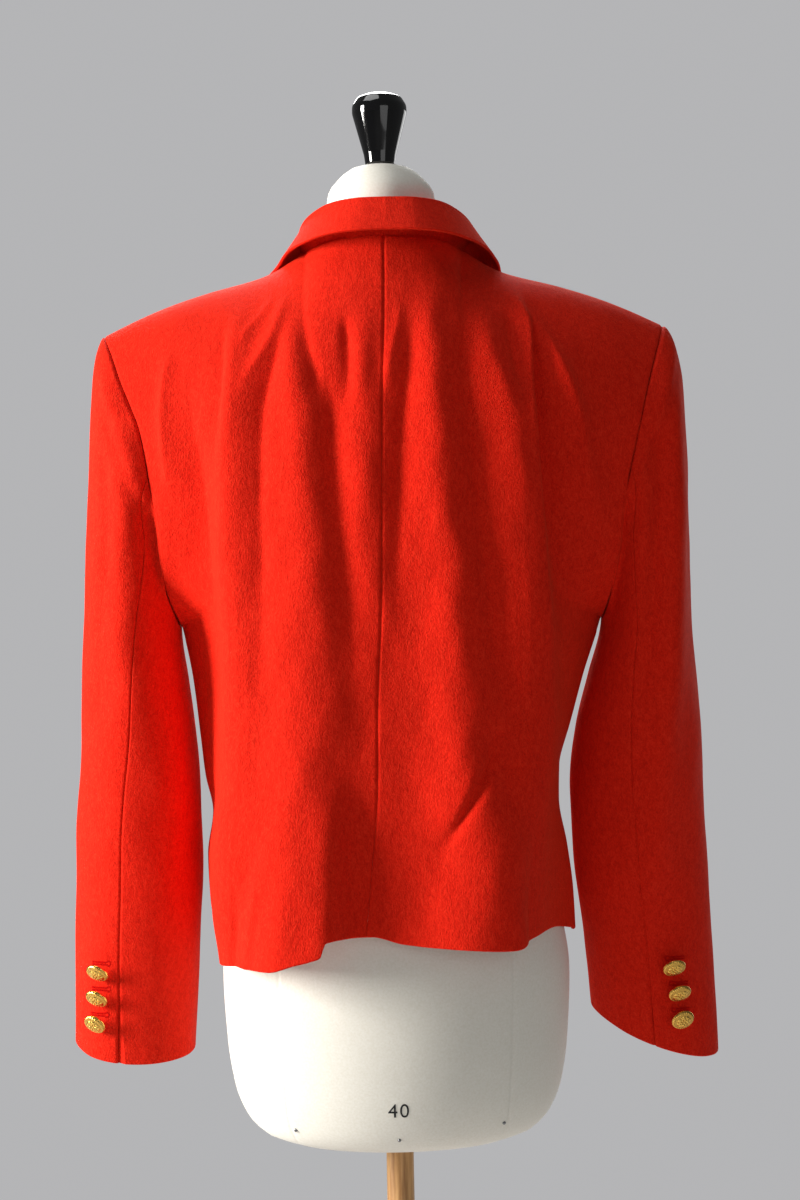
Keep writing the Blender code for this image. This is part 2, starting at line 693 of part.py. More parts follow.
def sheet(name, place, columns, rows, finish, collection, turned):
    """A panel: a grid whose points are placed by a function, with its wall on the inner side."""
    form = bmesh.new()
    wide = len(columns) - 1
    high = len(rows) - 1
    bmesh.ops.create_grid(form, x_segments=wide, y_segments=high, size=1.0)
    for point in form.verts:
        i = round((point.co.x + 1) / 2 * wide)
        j = round((point.co.y + 1) / 2 * high)
        point.co = place(columns[i], rows[j])
    if turned:
        bmesh.ops.reverse_faces(form, faces=form.faces[:])
    mesh = bpy.data.meshes.new(name)
    form.to_mesh(mesh)
    form.free()
    mesh.shade_smooth()
    piece = add_object(name, mesh, finish, collection)
    wall = piece.modifiers.new("wall", "SOLIDIFY")
    wall.thickness = WALL
    wall.offset = -1.0
    return piece


def spaced(start, end, count):
    return [start + (end - start) * i / count for i in range(count + 1)]


def edged(values, margin):
    """The same stations, with one more close to each end, which holds the seam's edge true."""
    step = math.copysign(margin, values[-1] - values[0])
    return [values[0], values[0] + step, *values[1:-1], values[-1] - step, values[-1]]


def seam_rows(side, lower):
    """Row heights at a body panel's edge: the armhole's own steps, then even ones to the hem."""
    hem = FRONT_HEM_SIDE[0] if side > 0 else FRONT_HEM_SIDE[1]
    heights = [armhole_height(15.0 * step) for step in range(12)]
    return edged(heights + spaced(UNDERARM, hem, lower), 0.0006)


def panel_place(surface, side, forward):
    """Places a body panel's points, half a seam clear of each piece it is sewn to."""

    def place(across, height):
        spot = surface(side, across, height)
        shoulder = height >= SHOULDER_TOP
        side_seam = height <= UNDERARM + 1e-6 and across == 1.0
        if shoulder or side_seam:
            spot.y += forward * SEAM
        if across == 0.0 and forward > 0:
            spot.x += side * SEAM
        if side_seam:
            spot.x = surface(side, SIDE_STRIP, height).x
        elif across == 1.0:
            spot.x -= side * SEAM
        return spot

    return place


def make_panels(name, surface, forward, columns, lower, wool, collection):
    """A back's or a front's two panels, and the faces that other pieces lie on."""
    trees = {}
    for side in (+1, -1):
        place = panel_place(surface, side, forward)
        rows = seam_rows(side, lower)
        turned = side * forward < 0
        sheet(f"{name}_{side_name(side)}", place, columns[side], rows, wool, collection, turned)
        trees[side] = surface_tree(place, columns[side], rows, turned)
    return trees


def lapel_point(side, out, up, trees):
    """A lapel's point: the front panel's own point, moved out by a wall and a little air."""
    bottom = LAPEL_BREAK[side]
    height = bottom + (along(LAPEL_TOP_EDGE, out, "value") - bottom) * up
    width = 0.014 + (LAPEL_POINT_ACROSS - 0.014) * up ** 0.85
    lift = LAPEL_LAYER + LAPEL_CROWN * math.sin(math.pi * out)
    return rested(front_point(side, out * width, height), trees, lift)


def make_lapels(fronts, wool, collection):
    for side in (+1, -1):

        def place(out, up, side=side):
            return lapel_point(side, out, up, [fronts[side]])

        name = "lapel_" + side_name(side)
        columns = [0.0, 0.02, 0.13, 0.25, 0.38, 0.50, 0.63, 0.75, 0.87, 0.98, 1.0]
        rows = [0.0, 0.01, 0.15, 0.30, 0.45, 0.60, 0.72, 0.82, 0.91, 0.99, 1.0]
        sheet(name, place, columns, rows, wool, collection, side < 0)


def on_chest(x, z, lift, front):
    """The place on a front's face that is seen from ahead at x and z, moved out by `lift`."""
    hit, normal = front.ray_cast(Vector((x, -1.0, z)), Vector((0.0, 1.0, 0.0)))[:2]
    return hit + normal * lift


def collar_stations(side, fronts):
    """Guide points of one half, from the centre back round to the collar's point."""
    stations = []
    for row in COLLAR:
        neck, roll, edge = (Vector(point) for point in row)
        stations.append((neck, roll, roll.lerp(edge, 0.62), edge))
    for step, row in enumerate(COLLAR_FRONT, 1):
        left = 1 - step / len(COLLAR_FRONT)
        edge = on_chest(side * row.edge_x, row.edge_z, row.lift, fronts[side])
        edge.x *= side
        if left == 0:
            gorge = [lapel_point(side, out, 1.0, [fronts[side]]) for out in (0.0, 0.25, 0.5)]
            ends = [Vector((side * spot.x, spot.y, spot.z + GORGE_SEAM)) for spot in gorge]
            stations.append((*ends, edge))
            continue
        neck = front_point(side, NECK_FRONT_SHARE * left, SHOULDER_TOP - 0.0050 * (1 - left))
        neck = Vector((side * neck.x - 0.0015 * left, neck.y, neck.z + 0.0038))
        roll = neck + Vector((0.90, -0.35 - 0.55 * (1 - left), 1.0 - 0.75 * (1 - left))) * row.stand
        middle = on_chest(side * row.middle_x, row.middle_z, row.lift, fronts[side])
        middle.x *= side
        stations.append((neck, roll, middle, edge))
    return stations


def smooth_through(points, t):
    """A smooth line through the points, read at t from 0 to 1."""
    last = len(points) - 1
    place = min(max(t, 0.0), 1.0) * last
    i = min(int(place), last - 1)
    u = place - i
    p1 = points[i]
    p2 = points[i + 1]
    p0 = points[i - 1] if i > 0 else p1 * 2 - p2
    p3 = points[i + 2] if i + 2 <= last else p2 * 2 - p1
    a = p2 - p0
    b = p0 * 2 - p1 * 5 + p2 * 4 - p3
    c = p1 * 3 - p0 - p2 * 3 + p3
    return p1 + (a * u + b * u * u + c * u * u * u) * 0.5


def collar_point(stations, round_neck, over):
    """The collar's point: round the neck from -1 to 1, and over from the stand (0) to the fall."""
    t = abs(round_neck)
    side = 1 if round_neck >= 0 else -1
    neck, roll, middle, edge = (smooth_through([row[n] for row in stations], t) for n in range(4))
    into_stand = neck - roll
    into_fall = middle - roll
    stand = roll + into_stand.normalized() * min(COLLAR_FOLD, into_stand.length * 0.45)
    fall = roll + into_fall.normalized() * min(COLLAR_FOLD, into_fall.length * 0.45)
    spot = smooth_through([neck, stand, roll, fall, middle, edge], over)
    fade = 1 - eased((t - COLLAR_SHIFT_FROM) / (COLLAR_SHIFT_TO - COLLAR_SHIFT_FROM))
    shift = COLLAR_SHIFT * fade * eased(over * 1.6)
    return Vector((side * spot.x + shift, spot.y, spot.z))


def make_collar(fronts, wool, collection):
    stations = {side: collar_stations(side, fronts) for side in (+1, -1)}

    def place(round_neck, over):
        side = 1 if round_neck >= 0 else -1
        spot = collar_point(stations[side], round_neck, over)
        if abs(round_neck) > COLLAR_SHIFT_TO and over > COLLAR_FREE:
            spot = rested(spot, [fronts[side]], LAYER)
        return spot

    columns = spaced(-1.0, 1.0, 30)
    rows = spaced(0.0, 1.0, 8)
    sheet("collar", place, columns, rows, wool, collection, False)


def sleeve_part(side, start, end, vent):
    """Places an upper or under sleeve's points, half a seam clear of what it is sewn to."""

    def place(share, down):
        turn = start + (end - start) * share
        spot = sleeve_point(side, turn, down)
        round_it = sleeve_point(side, turn + 1.0, down) - sleeve_point(side, turn - 1.0, down)
        round_it.normalize()
        under_arm = max(math.sin(math.pi * (turn - 90.0) / UNDER_ARC), 0.0)
        near_head = max(1 - down / HEAD_FADE, 0.0)
        spot.x += side * (HEAD_SEAM + UNDERARM_SEAM * math.sqrt(under_arm)) * near_head
        if share == 0.0:
            spot += round_it * SLEEVE_SEAM
        if share == 1.0:
            spot -= round_it * SLEEVE_SEAM
        above_cuff = (spot.z - cuff_height(side, 90.0)) / VENT
        if vent and above_cuff < 1.0 and share < 0.15:
            spot += round_it * vent * (1 - above_cuff) ** 2 * (1 - share / 0.15)
        return spot

    return place


def make_sleeves(wool, collection):
    downs = [0.0, 0.0012, 0.010, 0.025, 0.045, 0.080, *spaced(0.130, 0.9983, 10), 1.0]
    for side in (+1, -1):
        name = "sleeve_" + side_name(side)
        top = sleeve_part(side, FRONT_SEAM, 90.0, 0.0)
        under = sleeve_part(side, 90.0, 360.0 + FRONT_SEAM, VENT_OPEN[side])
        top_columns = edged(spaced(0.0, 1.0, 13), 0.01)
        under_columns = edged(spaced(0.0, 1.0, 11), 0.012)
        sheet(name + "_top", top, top_columns, downs, wool, collection, side > 0)
        sheet(name + "_under", under, under_columns, downs, wool, collection, side > 0)


def rounded(value, roundness):
    """A cosine or sine bent so that a ring is an ellipse at 2 and nearer a lens below it."""
    return math.copysign(abs(value) ** (2 / roundness), value)


def make_form(linen, collection):
    """The form's body: a sphere's rings, each set to the form's own section."""
    form = bmesh.new()
    count = len(FORM)
    bmesh.ops.create_uvsphere(form, u_segments=FORM_SEGMENTS, v_segments=count + 1, radius=1.0)
    for point in form.verts:
        polar = math.acos(min(max(point.co.z, -1.0), 1.0))
        ring = round(polar / math.pi * (count + 1))
        if ring == 0:
            point.co = Vector((0.0, 0.0, FORM[0].height))
            continue
        if ring == count + 1:
            point.co = Vector((0.0, 0.0, FORM_BOTTOM))
            continue
        row = FORM[ring - 1]
        angle = math.atan2(point.co.y, point.co.x)
        depth = row.back if math.sin(angle) > 0 else row.front
        x = row.half_width * rounded(math.cos(angle), row.roundness)
        y = depth * rounded(math.sin(angle), row.roundness)
        point.co = Vector((x, y, row.height))
    mesh = bpy.data.meshes.new("dress_form")
    form.to_mesh(mesh)
    form.free()
    mesh.shade_smooth()
    add_object("dress_form", mesh, linen, collection)


def turned_piece(name, profile, steps, finish, collection):
    """A turned piece: its profile swept round the Z axis."""
    mesh = bpy.data.meshes.new(name)
    points = [(row.radius, 0.0, row.height) for row in profile]
    mesh.from_pydata(points, [(i, i + 1) for i in range(len(points) - 1)], [])
    piece = add_object(name, mesh, finish, collection)
    turn = piece.modifiers.new("turn", "SCREW")
    turn.steps = steps
    turn.render_steps = steps
    turn.use_merge_vertices = True
    turn.merge_threshold = 0.00001
    turn.use_smooth_shade = True
    return piece


def button_profile(stem, scale):
    rows = [Turn(row.radius * scale, row.height * scale) for row in BUTTON_FACE]
    foot = -stem
    return (*rows, Turn(SHANK_RADIUS, foot), Turn(0.0, foot))


def set_button(name, spot, facing, stem, scale, gold, collection):
    piece = turned_piece(name, button_profile(stem, scale), BUTTON_TURNS, gold, collection)
    turn = facing.to_track_quat("Z", "Y").to_matrix().to_4x4()
    piece.matrix_world = Matrix.Translation(spot) @ turn


def make_buttons(fronts, gold, collection):
    for side in (+1, -1):
        for number, button in enumerate(CUFF_BUTTONS[side], 1):
            angle = math.radians(button.turn)
            rows = SLEEVE_LEFT if side > 0 else SLEEVE_RIGHT
            half = (along(rows, button.height, "outer") - along(rows, button.height, "inner")) / 2
            deep = along(rows, button.height, "half_depth")
            level = Vector((side * math.cos(angle) / half, math.sin(angle) / deep, 0.0)).normalized()
            droop = math.radians(button.droop)
            facing = level * math.cos(droop) - Vector((0.0, 0.0, math.sin(droop)))
            spot = sleeve_tube(side, button.turn, button.height) + level * CUFF_BUTTON_LIFT
            room = CUFF_BUTTON_LIFT - SHANK_RADIUS * math.sin(droop) - STEM_GAP
            stem = room / math.cos(droop)
            name = f"cuff_button_{side_name(side)}_{number}"
            set_button(name, spot, facing, stem, 1.0, gold, collection)
    for number, button in enumerate(FRONT_BUTTONS, 1):
        depth = along(FRONT_DEPTH, button.height, "centre")
        spot = rested(Vector((0.0, depth, button.height)), [fronts[-1]], FRONT_BUTTON_LIFT)
        name = f"front_button_{number}"
        stem = FRONT_BUTTON_LIFT - STEM_GAP / 2
        set_button(name, spot, Vector((0.0, -1.0, 0.0)), stem, FRONT_BUTTON_SCALE, gold, collection)


def clear_scene():
    for thing in list(bpy.data.objects):
        bpy.data.objects.remove(thing, do_unlink=True)


def main():
    clear_scene()
    collection = bpy.data.collections.new("blazer_on_dress_form")
    bpy.context.scene.collection.children.link(collection)
    wool = material("red wool")
    make_panels("back", back_point, +1, BACK_COLUMNS, 10, wool, collection)
    fronts = make_panels("front", front_point, -1, FRONT_COLUMNS, 7, wool, collection)
    make_lapels(fronts, wool, collection)
    make_collar(fronts, wool, collection)
    make_sleeves(wool, collection)
    make_buttons(fronts, material("gold"), collection)
    make_form(material("linen"), collection)
    turned_piece("finial", FINIAL, 32, material("black lacquer"), collection)
    beech = material("beech")
    turned_piece("pole", POLE, 24, beech, collection)
    turned_piece("base", BASE, 32, beech, collection)


main()
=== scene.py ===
"""A cropped red wool blazer on a limbless dress form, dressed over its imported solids.

Metres, +Z up. The camera looks at the blazer's back, which faces +Y; the wearer's left is +X.
Each piece of cloth is a grid of points worked out from the same tables as its solid, with finer
folds, edges that roll into their seams and hems that turn under.
"""

import math
from collections import namedtuple

import bmesh
import bpy
import numpy as np
from mathutils import Matrix, Quaternion, Vector
from mathutils.bvhtree import BVHTree

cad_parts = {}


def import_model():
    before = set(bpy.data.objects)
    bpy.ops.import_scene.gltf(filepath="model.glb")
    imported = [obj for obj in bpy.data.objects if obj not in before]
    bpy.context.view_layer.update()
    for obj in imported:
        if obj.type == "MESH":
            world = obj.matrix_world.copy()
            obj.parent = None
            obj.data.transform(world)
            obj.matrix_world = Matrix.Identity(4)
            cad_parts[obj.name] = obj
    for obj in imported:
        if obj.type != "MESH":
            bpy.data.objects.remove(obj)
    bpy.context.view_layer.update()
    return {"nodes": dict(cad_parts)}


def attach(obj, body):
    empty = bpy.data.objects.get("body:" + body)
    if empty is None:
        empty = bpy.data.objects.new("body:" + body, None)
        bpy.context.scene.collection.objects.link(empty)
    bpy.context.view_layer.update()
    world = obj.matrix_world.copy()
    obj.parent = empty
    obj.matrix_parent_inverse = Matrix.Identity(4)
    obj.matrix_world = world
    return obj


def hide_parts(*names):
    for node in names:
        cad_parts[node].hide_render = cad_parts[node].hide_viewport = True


# Camera, set to the photograph's frame
CAMERA_PLACE = (-0.0101, 2.2, 1.12)
CAMERA_ROLL = -1.15
CAMERA_LENS = 71.7
SENSOR_HEIGHT = 36.0

# Cloth
WALL = 0.0012
LAPEL_LAYER = 0.0031
LAPEL_CROWN = 0.0026
LAPEL_EDGE_LIFT = 0.0012
LAYER = 0.0028
BESIDE = 0.0020
SHOULDER_TOP = 1.367
UNDERARM = 1.100
SHOULDER_DROP = 0.120
NECK_SIDE = 0.070
NECK_Y = 0.003
NECK_BACK = 0.060
NECK_POINT = 1.409
ARMHOLE_BACK = 0.062
ARMHOLE_FRONT = -0.056
ARMHOLE_ROUND = 0.100
FLANK_TOP = 1.270
FLANK_BOTTOM = 0.980
RIDGE_SHARE = 0.56
RIDGE_ROUND = 0.10
FRONT_OVERLAP = 0.015
FRONT_UNDER = 0.0044
BREAK_HEIGHT = 1.075
ROLL_TOP = 0.058
NECK_FRONT_SHARE = 0.10
LAPEL_BREAK = {+1: 1.1450, -1: 1.0500}
LAPEL_POINT_ACROSS = 0.46
CAP_DEPTH = 0.050
CAP_EASE = 0.0030
VENT = 0.110
VENT_OPEN = {+1: 0.0055, -1: 0.0015}
SEAM_GAP = 0.00002
SEAM_ROLL = 0.0010
SEAM_ROLL_WIDTH = 0.0013
TUCK_DEPTH = 0.0016
TUCK_REACH = 0.0030
LAP_TURNS = (13.0, 10.0, 6.5, 3.0, 0.6)
LAP_DEPTH = 0.0030
EDGE_TURN = (0.0010, 0.0026)
SEAM_STEPS = 6
HEM_RADIUS = 0.0014
HEM_TURN = 0.012
HEM_ANGLES = (25, 50, 75, 100, 125, 150, 180)
HEM_SHARES = (0.3, 0.6, 1.0)
FADE_AT_EDGE = 0.12

Sides = namedtuple("Sides", "height left right")
Line = namedtuple("Line", "key value")
Depths = namedtuple("Depths", "height centre ridge")
Fold = namedtuple("Fold", "height at rise inner outer")
Dent = namedtuple("Dent", "at height depth wide high")
Tube = namedtuple("Tube", "height outer inner centre_y half_depth")
Station = namedtuple("Station", "neck roll edge")
Rest = namedtuple("Rest", "edge_x edge_z middle_x middle_z lift stand")
Ring = namedtuple("Ring", "height half_width back front roundness")
Cuff = namedtuple("Cuff", "height across along")
Button = namedtuple("Button", "height turn droop")
Wave = namedtuple("Wave", "across down rise")
Petals = namedtuple("Petals", "start end count rise turn")
Pin = namedtuple("Pin", "height turn")
Light = namedtuple("Light", "name place target size power colour")

MM = 1000


def table(kind, unit, *rows):
    """Rows with the columns that `kind` names, divided by `unit`: MM where they are millimetres."""
    return tuple(kind(*(value / unit for value in row)) for row in rows)



# Half widths of the armhole down to the underarm, then of the side seam
EDGE = table(Sides, MM,
    (1367, 256, 255.5), (1347, 247, 248.5), (1323, 238.5, 241), (1299, 229, 234.5),
    (1279, 221.5, 230), (1252, 216, 223.5), (1224, 212, 217), (1190, 207, 211.5),
    (1159, 204, 207.5), (1133, 201, 203.5), (1100, 191.5, 195), (1050, 182, 178.5),
    (1000, 176.5, 164), (963, 172.5, 154), (930, 166, 153), (890, 171.5, 160), (850, 170, 165),
    (800, 161, 167))
# Where the back turns from its plane to its flank
BACK_RIDGE = table(Sides, MM,
    (1380, 129, 127), (1334, 133, 128), (1272, 138, 128), (1211, 141, 130), (1120, 147, 134),
    (1050, 148, 139), (970, 147, 141), (905, 152, 134), (850, 155, 122), (800, 150, 115))
BACK_DEPTH = table(Depths, MM,
    (1447, 78, 70), (1400, 94, 82), (1360, 103, 91), (1300, 112, 99), (1220, 120, 106),
    (1120, 122, 107), (1000, 120, 103), (900, 122, 107), (800, 127, 98))
FRONT_RIDGE = table(Sides, MM,
    (1400, 130, 130), (1200, 129, 129), (1050, 133, 132), (800, 140, 138))
FRONT_DEPTH = table(Depths, MM,
    (1447, -62, -50), (1400, -78, -64), (1360, -93, -78), (1300, -113, -94), (1220, -129, -107),
    (1150, -133, -110), (1050, -128, -104), (950, -124, -98), (800, -124, -96))
# Height of the shoulder line and, nearer the centre, of the neckline, by distance from the centre
SHOULDER = table(Line, MM,
    (0, 1447), (35, 1446), (70, 1440), (85, 1432), (96, 1425), (113, 1417.5), (160, 1405),
    (193, 1394.5), (222, 1383), (256, 1367))
CENTRE_SEAM = table(Line, MM,
    (820, 26), (885, 19), (950, 13), (1033, 11), (1120, 6), (1207, 4), (1295, 2), (1383, -1),
    (1447, -2))
# Height of the back's hem across the blazer, from its right side to its left
BACK_HEM = table(Line, MM,
    (-168, 816), (-142, 824), (-121, 821), (-94, 815), (-65, 817.7), (-26, 822.5), (-4, 829),
    (30, 828.5), (40.5, 827), (45.5, 815), (52, 812.5), (68, 808.5), (91, 802), (128, 802.6),
    (161, 800))
FRONT_HEM_SIDE = {+1: 0.8000, -1: 0.8160}
FRONT_HEM = 0.8240
FRONT_HEM_EASE = 0.85
# The back's main folds, as in the solids. `at` is a fold's place across the blazer, `rise` its
# height, and inner and outer are its widths towards -X and towards +X.
BACK_FOLDS = {
    "left_ridge": table(Fold, MM,
        (1390, 129, 0, 10, 10), (1350, 131, 5, 10, 10), (1270, 137, 5, 13, 14),
        (1120, 147, 4, 16, 12), (950, 149, 3, 18, 12), (800, 152, 1, 18, 12)),
    "left_flare": table(Fold, MM,
        (1390, 88, 0, 12, 10), (1349, 84, 4, 14, 12), (1268, 74, 6, 20, 18),
        (1120, 70, 8.5, 30, 28), (981, 73, 12, 32, 36), (890, 83, 21, 40, 38),
        (800, 90, 28, 46, 36)),
    "left_of_seam": table(Fold, MM,
        (1390, 18, 0, 12, 12), (1340, 18, 3.5, 12, 12), (1268, 17, 4, 15, 18),
        (1180, 16, 2.5, 16, 18), (1090, 14, 0, 16, 18)),
    "right_flare": table(Fold, MM,
        (1390, -42, 0, 12, 12), (1349, -43, 4, 14, 12), (1268, -46, 6, 20, 18),
        (1120, -60, 7.5, 28, 24), (981, -63, 10, 36, 30), (890, -84, 19, 34, 44),
        (810, -82, 29, 36, 56)),
    "right_shoulder_blade": table(Fold, MM,
        (1390, -88, 0, 12, 12), (1349, -93, 4.5, 12, 12), (1268, -113, 6.5, 18, 16),
        (1120, -130, 6.5, 12, 22), (1000, -138, 3.5, 10, 22), (900, -136, 0, 10, 22)),
    "right_flank_hollow": table(Fold, MM,
        (1390, -136, 0, 10, 10), (1345, -138, -4.5, 10, 10), (1268, -143, -7, 13, 13),
        (1180, -149, -5, 14, 14), (1090, -150, 0, 14, 14)),
}
# Smaller folds, which only the render has
BACK_CREASES = {
    "left_short_diagonal": table(Fold, MM,
        (1398, 98, 0, 4, 4), (1380, 106, 2, 4, 4), (1362, 119, 2.2, 4, 4), (1345, 124, 0, 4, 4)),
    "left_long_diagonal": table(Fold, MM,
        (1398, 86, 0, 4, 5), (1372, 93, 2.2, 5, 6), (1350, 101, 2.6, 5, 7), (1325, 116, 2, 5, 7),
        (1300, 126, 0, 5, 7)),
    "left_long_hollow": table(Fold, MM,
        (1385, 82, 0, 5, 5), (1340, 95, -2.4, 7, 6), (1285, 111, -3.6, 9, 9),
        (1210, 113, -3.4, 11, 10), (1120, 112, -2, 12, 12), (1020, 112, 0, 12, 12)),
    "left_ridge_back_hollow": table(Fold, MM,
        (1372, 141, 0, 4, 6), (1345, 143, -2, 4, 7), (1305, 145, -2.4, 5, 9),
        (1260, 152, -1.8, 6, 12), (1200, 158, 0, 6, 12)),
    "left_upright": table(Fold, MM,
        (1372, 69, 0, 4, 4), (1345, 67, -2, 5, 5), (1320, 61, -1.8, 6, 6), (1290, 57, 0, 8, 8)),
    "left_middle_hollow": table(Fold, MM,
        (1330, 50, 0, 9, 9), (1268, 46, -3, 11, 11), (1200, 42, -2.8, 12, 14),
        (1120, 34, -2.2, 12, 14), (1040, 30, 0, 12, 14)),
    "left_seam_hollow": table(Fold, MM,
        (1375, 34, 0, 4, 5), (1350, 32, -2.8, 5, 6), (1320, 31, -2.4, 5, 7), (1285, 34, 0, 6, 8)),
    "right_of_seam": table(Fold, MM,
        (1385, -16, 0, 6, 5), (1365, -13, 1.2, 6, 5), (1330, -5, 1.2, 6, 5), (1300, -3, 0, 6, 5)),
    "right_inner_hollow": table(Fold, MM,
        (1370, -24, 0, 6, 6), (1330, -22, -2.2, 7, 7), (1268, -15, -2.6, 8, 9),
        (1180, -10, -2, 9, 10), (1090, -6, 0, 9, 10)),
    "right_middle_hollow": table(Fold, MM,
        (1365, -66, 0, 7, 7), (1330, -70, -2.2, 8, 8), (1268, -75, -3.6, 10, 10),
        (1180, -83, -3.6, 12, 12), (1100, -90, -3, 14, 12), (1020, -98, 0, 14, 12)),
    "right_sharp_short": table(Fold, MM,
        (1402, -114, 0, 4, 4), (1385, -121, 3.2, 4, 5), (1362, -129, 4.6, 4, 6),
        (1330, -130, 4.2, 5, 6), (1290, -130, 3.6, 7, 6), (1220, -132, 3, 10, 6),
        (1140, -136, 2.4, 12, 7), (1050, -140, 0, 12, 7)),
    "right_sharp_hollow": table(Fold, MM,
        (1380, -108, 0, 4, 4), (1350, -115, -3, 5, 5), (1325, -118, -2.4, 5, 5),
        (1300, -121, 0, 5, 5)),
    "right_long_diagonal": table(Fold, MM,
        (1380, -134, 0, 5, 4), (1355, -143, 3.8, 6, 6), (1330, -153, 4.8, 8, 8),
        (1295, -165, 5, 11, 10), (1250, -174, 4.2, 13, 13), (1180, -180, 2.6, 13, 14),
        (1120, -180, 0, 13, 14)),
    "right_deep_hollow": table(Fold, MM,
        (1375, -134, 0, 6, 6), (1345, -138, -3.6, 7, 6), (1300, -142, -5, 9, 8),
        (1240, -146, -5, 11, 9), (1170, -149, -3.6, 13, 10), (1090, -150, 0, 13, 10)),
    "left_armhole_pucker": table(Fold, MM,
        (1350, 190, 0, 6, 6), (1325, 194, 3, 6, 6), (1290, 197, 3.6, 7, 6),
        (1250, 196, 2.4, 8, 6), (1210, 193, 0, 8, 6)),
    "left_armhole_hollow": table(Fold, MM,
        (1320, 176, 0, 12, 10), (1260, 172, -4.6, 14, 12), (1190, 168, -8, 15, 15),
        (1100, 164, -8.6, 15, 16), (1010, 161, -5.6, 14, 16), (930, 160, 0, 14, 16)),
    "left_flare_pleat": table(Fold, MM,
        (900, 112, 0, 6, 6), (860, 116, 1.2, 6, 6), (820, 122, 1.6, 6, 6), (795, 124, 1.4, 6, 6)),
    "left_flare_hollow": table(Fold, MM,
        (880, 134, 0, 5, 5), (840, 137, -1.6, 6, 5), (800, 140, -2.2, 6, 5)),
    "right_waist_hollow": table(Fold, MM,
        (1010, -92, 0, 6, 14), (975, -83, -3.4, 4, 12), (945, -68, -3.6, 4, 10),
        (918, -53, -2, 4, 8), (900, -45, 0, 4, 8)),
    "right_waist_ridge": table(Fold, MM,
        (1000, -82, 0, 5, 10), (970, -72, 2, 5, 10), (940, -58, 2.2, 5, 10), (912, -44, 0, 5, 10)),
    "right_low_hollow": table(Fold, MM,
        (940, -128, 0, 14, 10), (890, -118, -2.4, 14, 10), (840, -110, -3, 12, 9),
        (800, -108, -2.4, 12, 9)),
}
STEEP_FOLD = "left_flare"
STEEP_TOP = 0.980
STEEP_BOTTOM = 0.880
STEEP_POWER = 6.0
CREASE_GAIN = 1.55
CREASE_POWER = 1.5
WAVE_GAIN = 1.6
# Slow waves in all the cloth: how long each is across and down, and how far it stands out
CLOTH_WAVES = table(Wave, MM,
    (27, 90, 0.09), (38, 130, 0.15), (51, 210, 0.26), (78, 260, 0.4), (19, 43, 0.05))

SLEEVE_LEFT = table(Tube, MM,
    (1367, 265, 196, 0, 62), (1290, 270.5, 196, 0, 64), (1220, 274.5, 196, 0, 66),
    (1100, 281, 192.5, -2, 66), (1050, 284, 186, -4, 64), (1000, 285.5, 180.5, -7, 61),
    (940, 291, 177, -12, 57), (870, 295, 177.5, -19, 52), (800, 298, 182.5, -27, 47),
    (690, 302, 190, -39, 42))
SLEEVE_RIGHT = table(Tube, MM,
    (1367, 270, 199, 0, 62), (1290, 274.2, 199, 0, 64), (1220, 276, 199, 0, 66),
    (1100, 277.2, 196, -2, 67), (1050, 281.5, 182.5, -4, 64), (1000, 285, 170, -7, 60),
    (940, 287, 164, -12, 56), (870, 290, 168, -19, 52), (800, 294, 176, -27, 47),
    (690, 299.5, 186, -39, 42))
# Turn of each sleeve's back seam round its tube, in degrees from the outer side
BACK_SEAM = {
    +1: table(Line, 1,
        (0.69, 77), (0.89, 78), (0.945, 81), (1, 87), (1.053, 94), (1.107, 104), (1.178, 117),
        (1.2335, 90)),
    -1: table(Line, 1,
        (0.69, 95), (0.89, 97), (1, 102), (1.107, 112), (1.178, 117), (1.2335, 90)),
}
FRONT_SEAM = -105.0
CUFFS = {+1: Cuff(0.713, 0.006, -0.013), -1: Cuff(0.7185, -0.0225, -0.012)}
# Folds that run down each sleeve: `at`, inner and outer are degrees round it
SLEEVE_FOLDS = {
    +1: (
        table(Fold, 1,
            (1.26, 60, 0, 12, 12), (1.2, 66, -0.003, 10, 12), (1.1, 62, -0.0022, 14, 14),
            (1, 52, 0, 14, 14)),
        table(Fold, 1,
            (1.06, 140, 0, 16, 16), (0.96, 135, 0.0022, 14, 16), (0.86, 125, 0, 14, 16)),
    ),
    -1: (
        table(Fold, 1,
            (1.34, 42, 0, 14, 10), (1.27, 50, 0.005, 20, 12), (1.19, 55, 0.0072, 20, 13),
            (1.08, 63, 0.0072, 18, 13), (0.974, 73, 0.0056, 16, 12), (0.883, 80, 0.0026, 14, 10),
            (0.8, 92, 0, 12, 8)),
        table(Fold, 1,
            (1.32, 68, 0, 9, 9), (1.25, 76, -0.005, 9, 11), (1.18, 84, -0.0066, 10, 12),
            (1.1, 92, -0.0056, 10, 12), (1, 97, 0, 10, 10)),
    ),
}
SLEEVE_DENTS = {
    +1: table(Dent, 1,
        (60, 1.285, -0.0044, 12, 0.013), (58, 1.245, -0.0052, 14, 0.017),
        (70, 1.045, -0.0022, 14, 0.016), (45, 1.05, -0.0016, 20, 0.03),
        (118, 0.958, 0.0018, 16, 0.022), (110, 0.9, -0.0014, 18, 0.03),
        (100, 1.15, -0.0022, 22, 0.026)),
    -1: table(Dent, 1,
        (76, 1.255, -0.0034, 16, 0.018), (48, 0.96, 0.0012, 20, 0.04),
        (120, 0.93, -0.0016, 18, 0.03)),
}

# Height of the lapel's top edge, from the roll line (0) through the notch to its point (1)
LAPEL_TOP_EDGE = table(Line, 1,
    (0, 1.353), (0.1, 1.337), (0.25, 1.3255), (0.5, 1.3315), (0.75, 1.331), (1, 1.323))
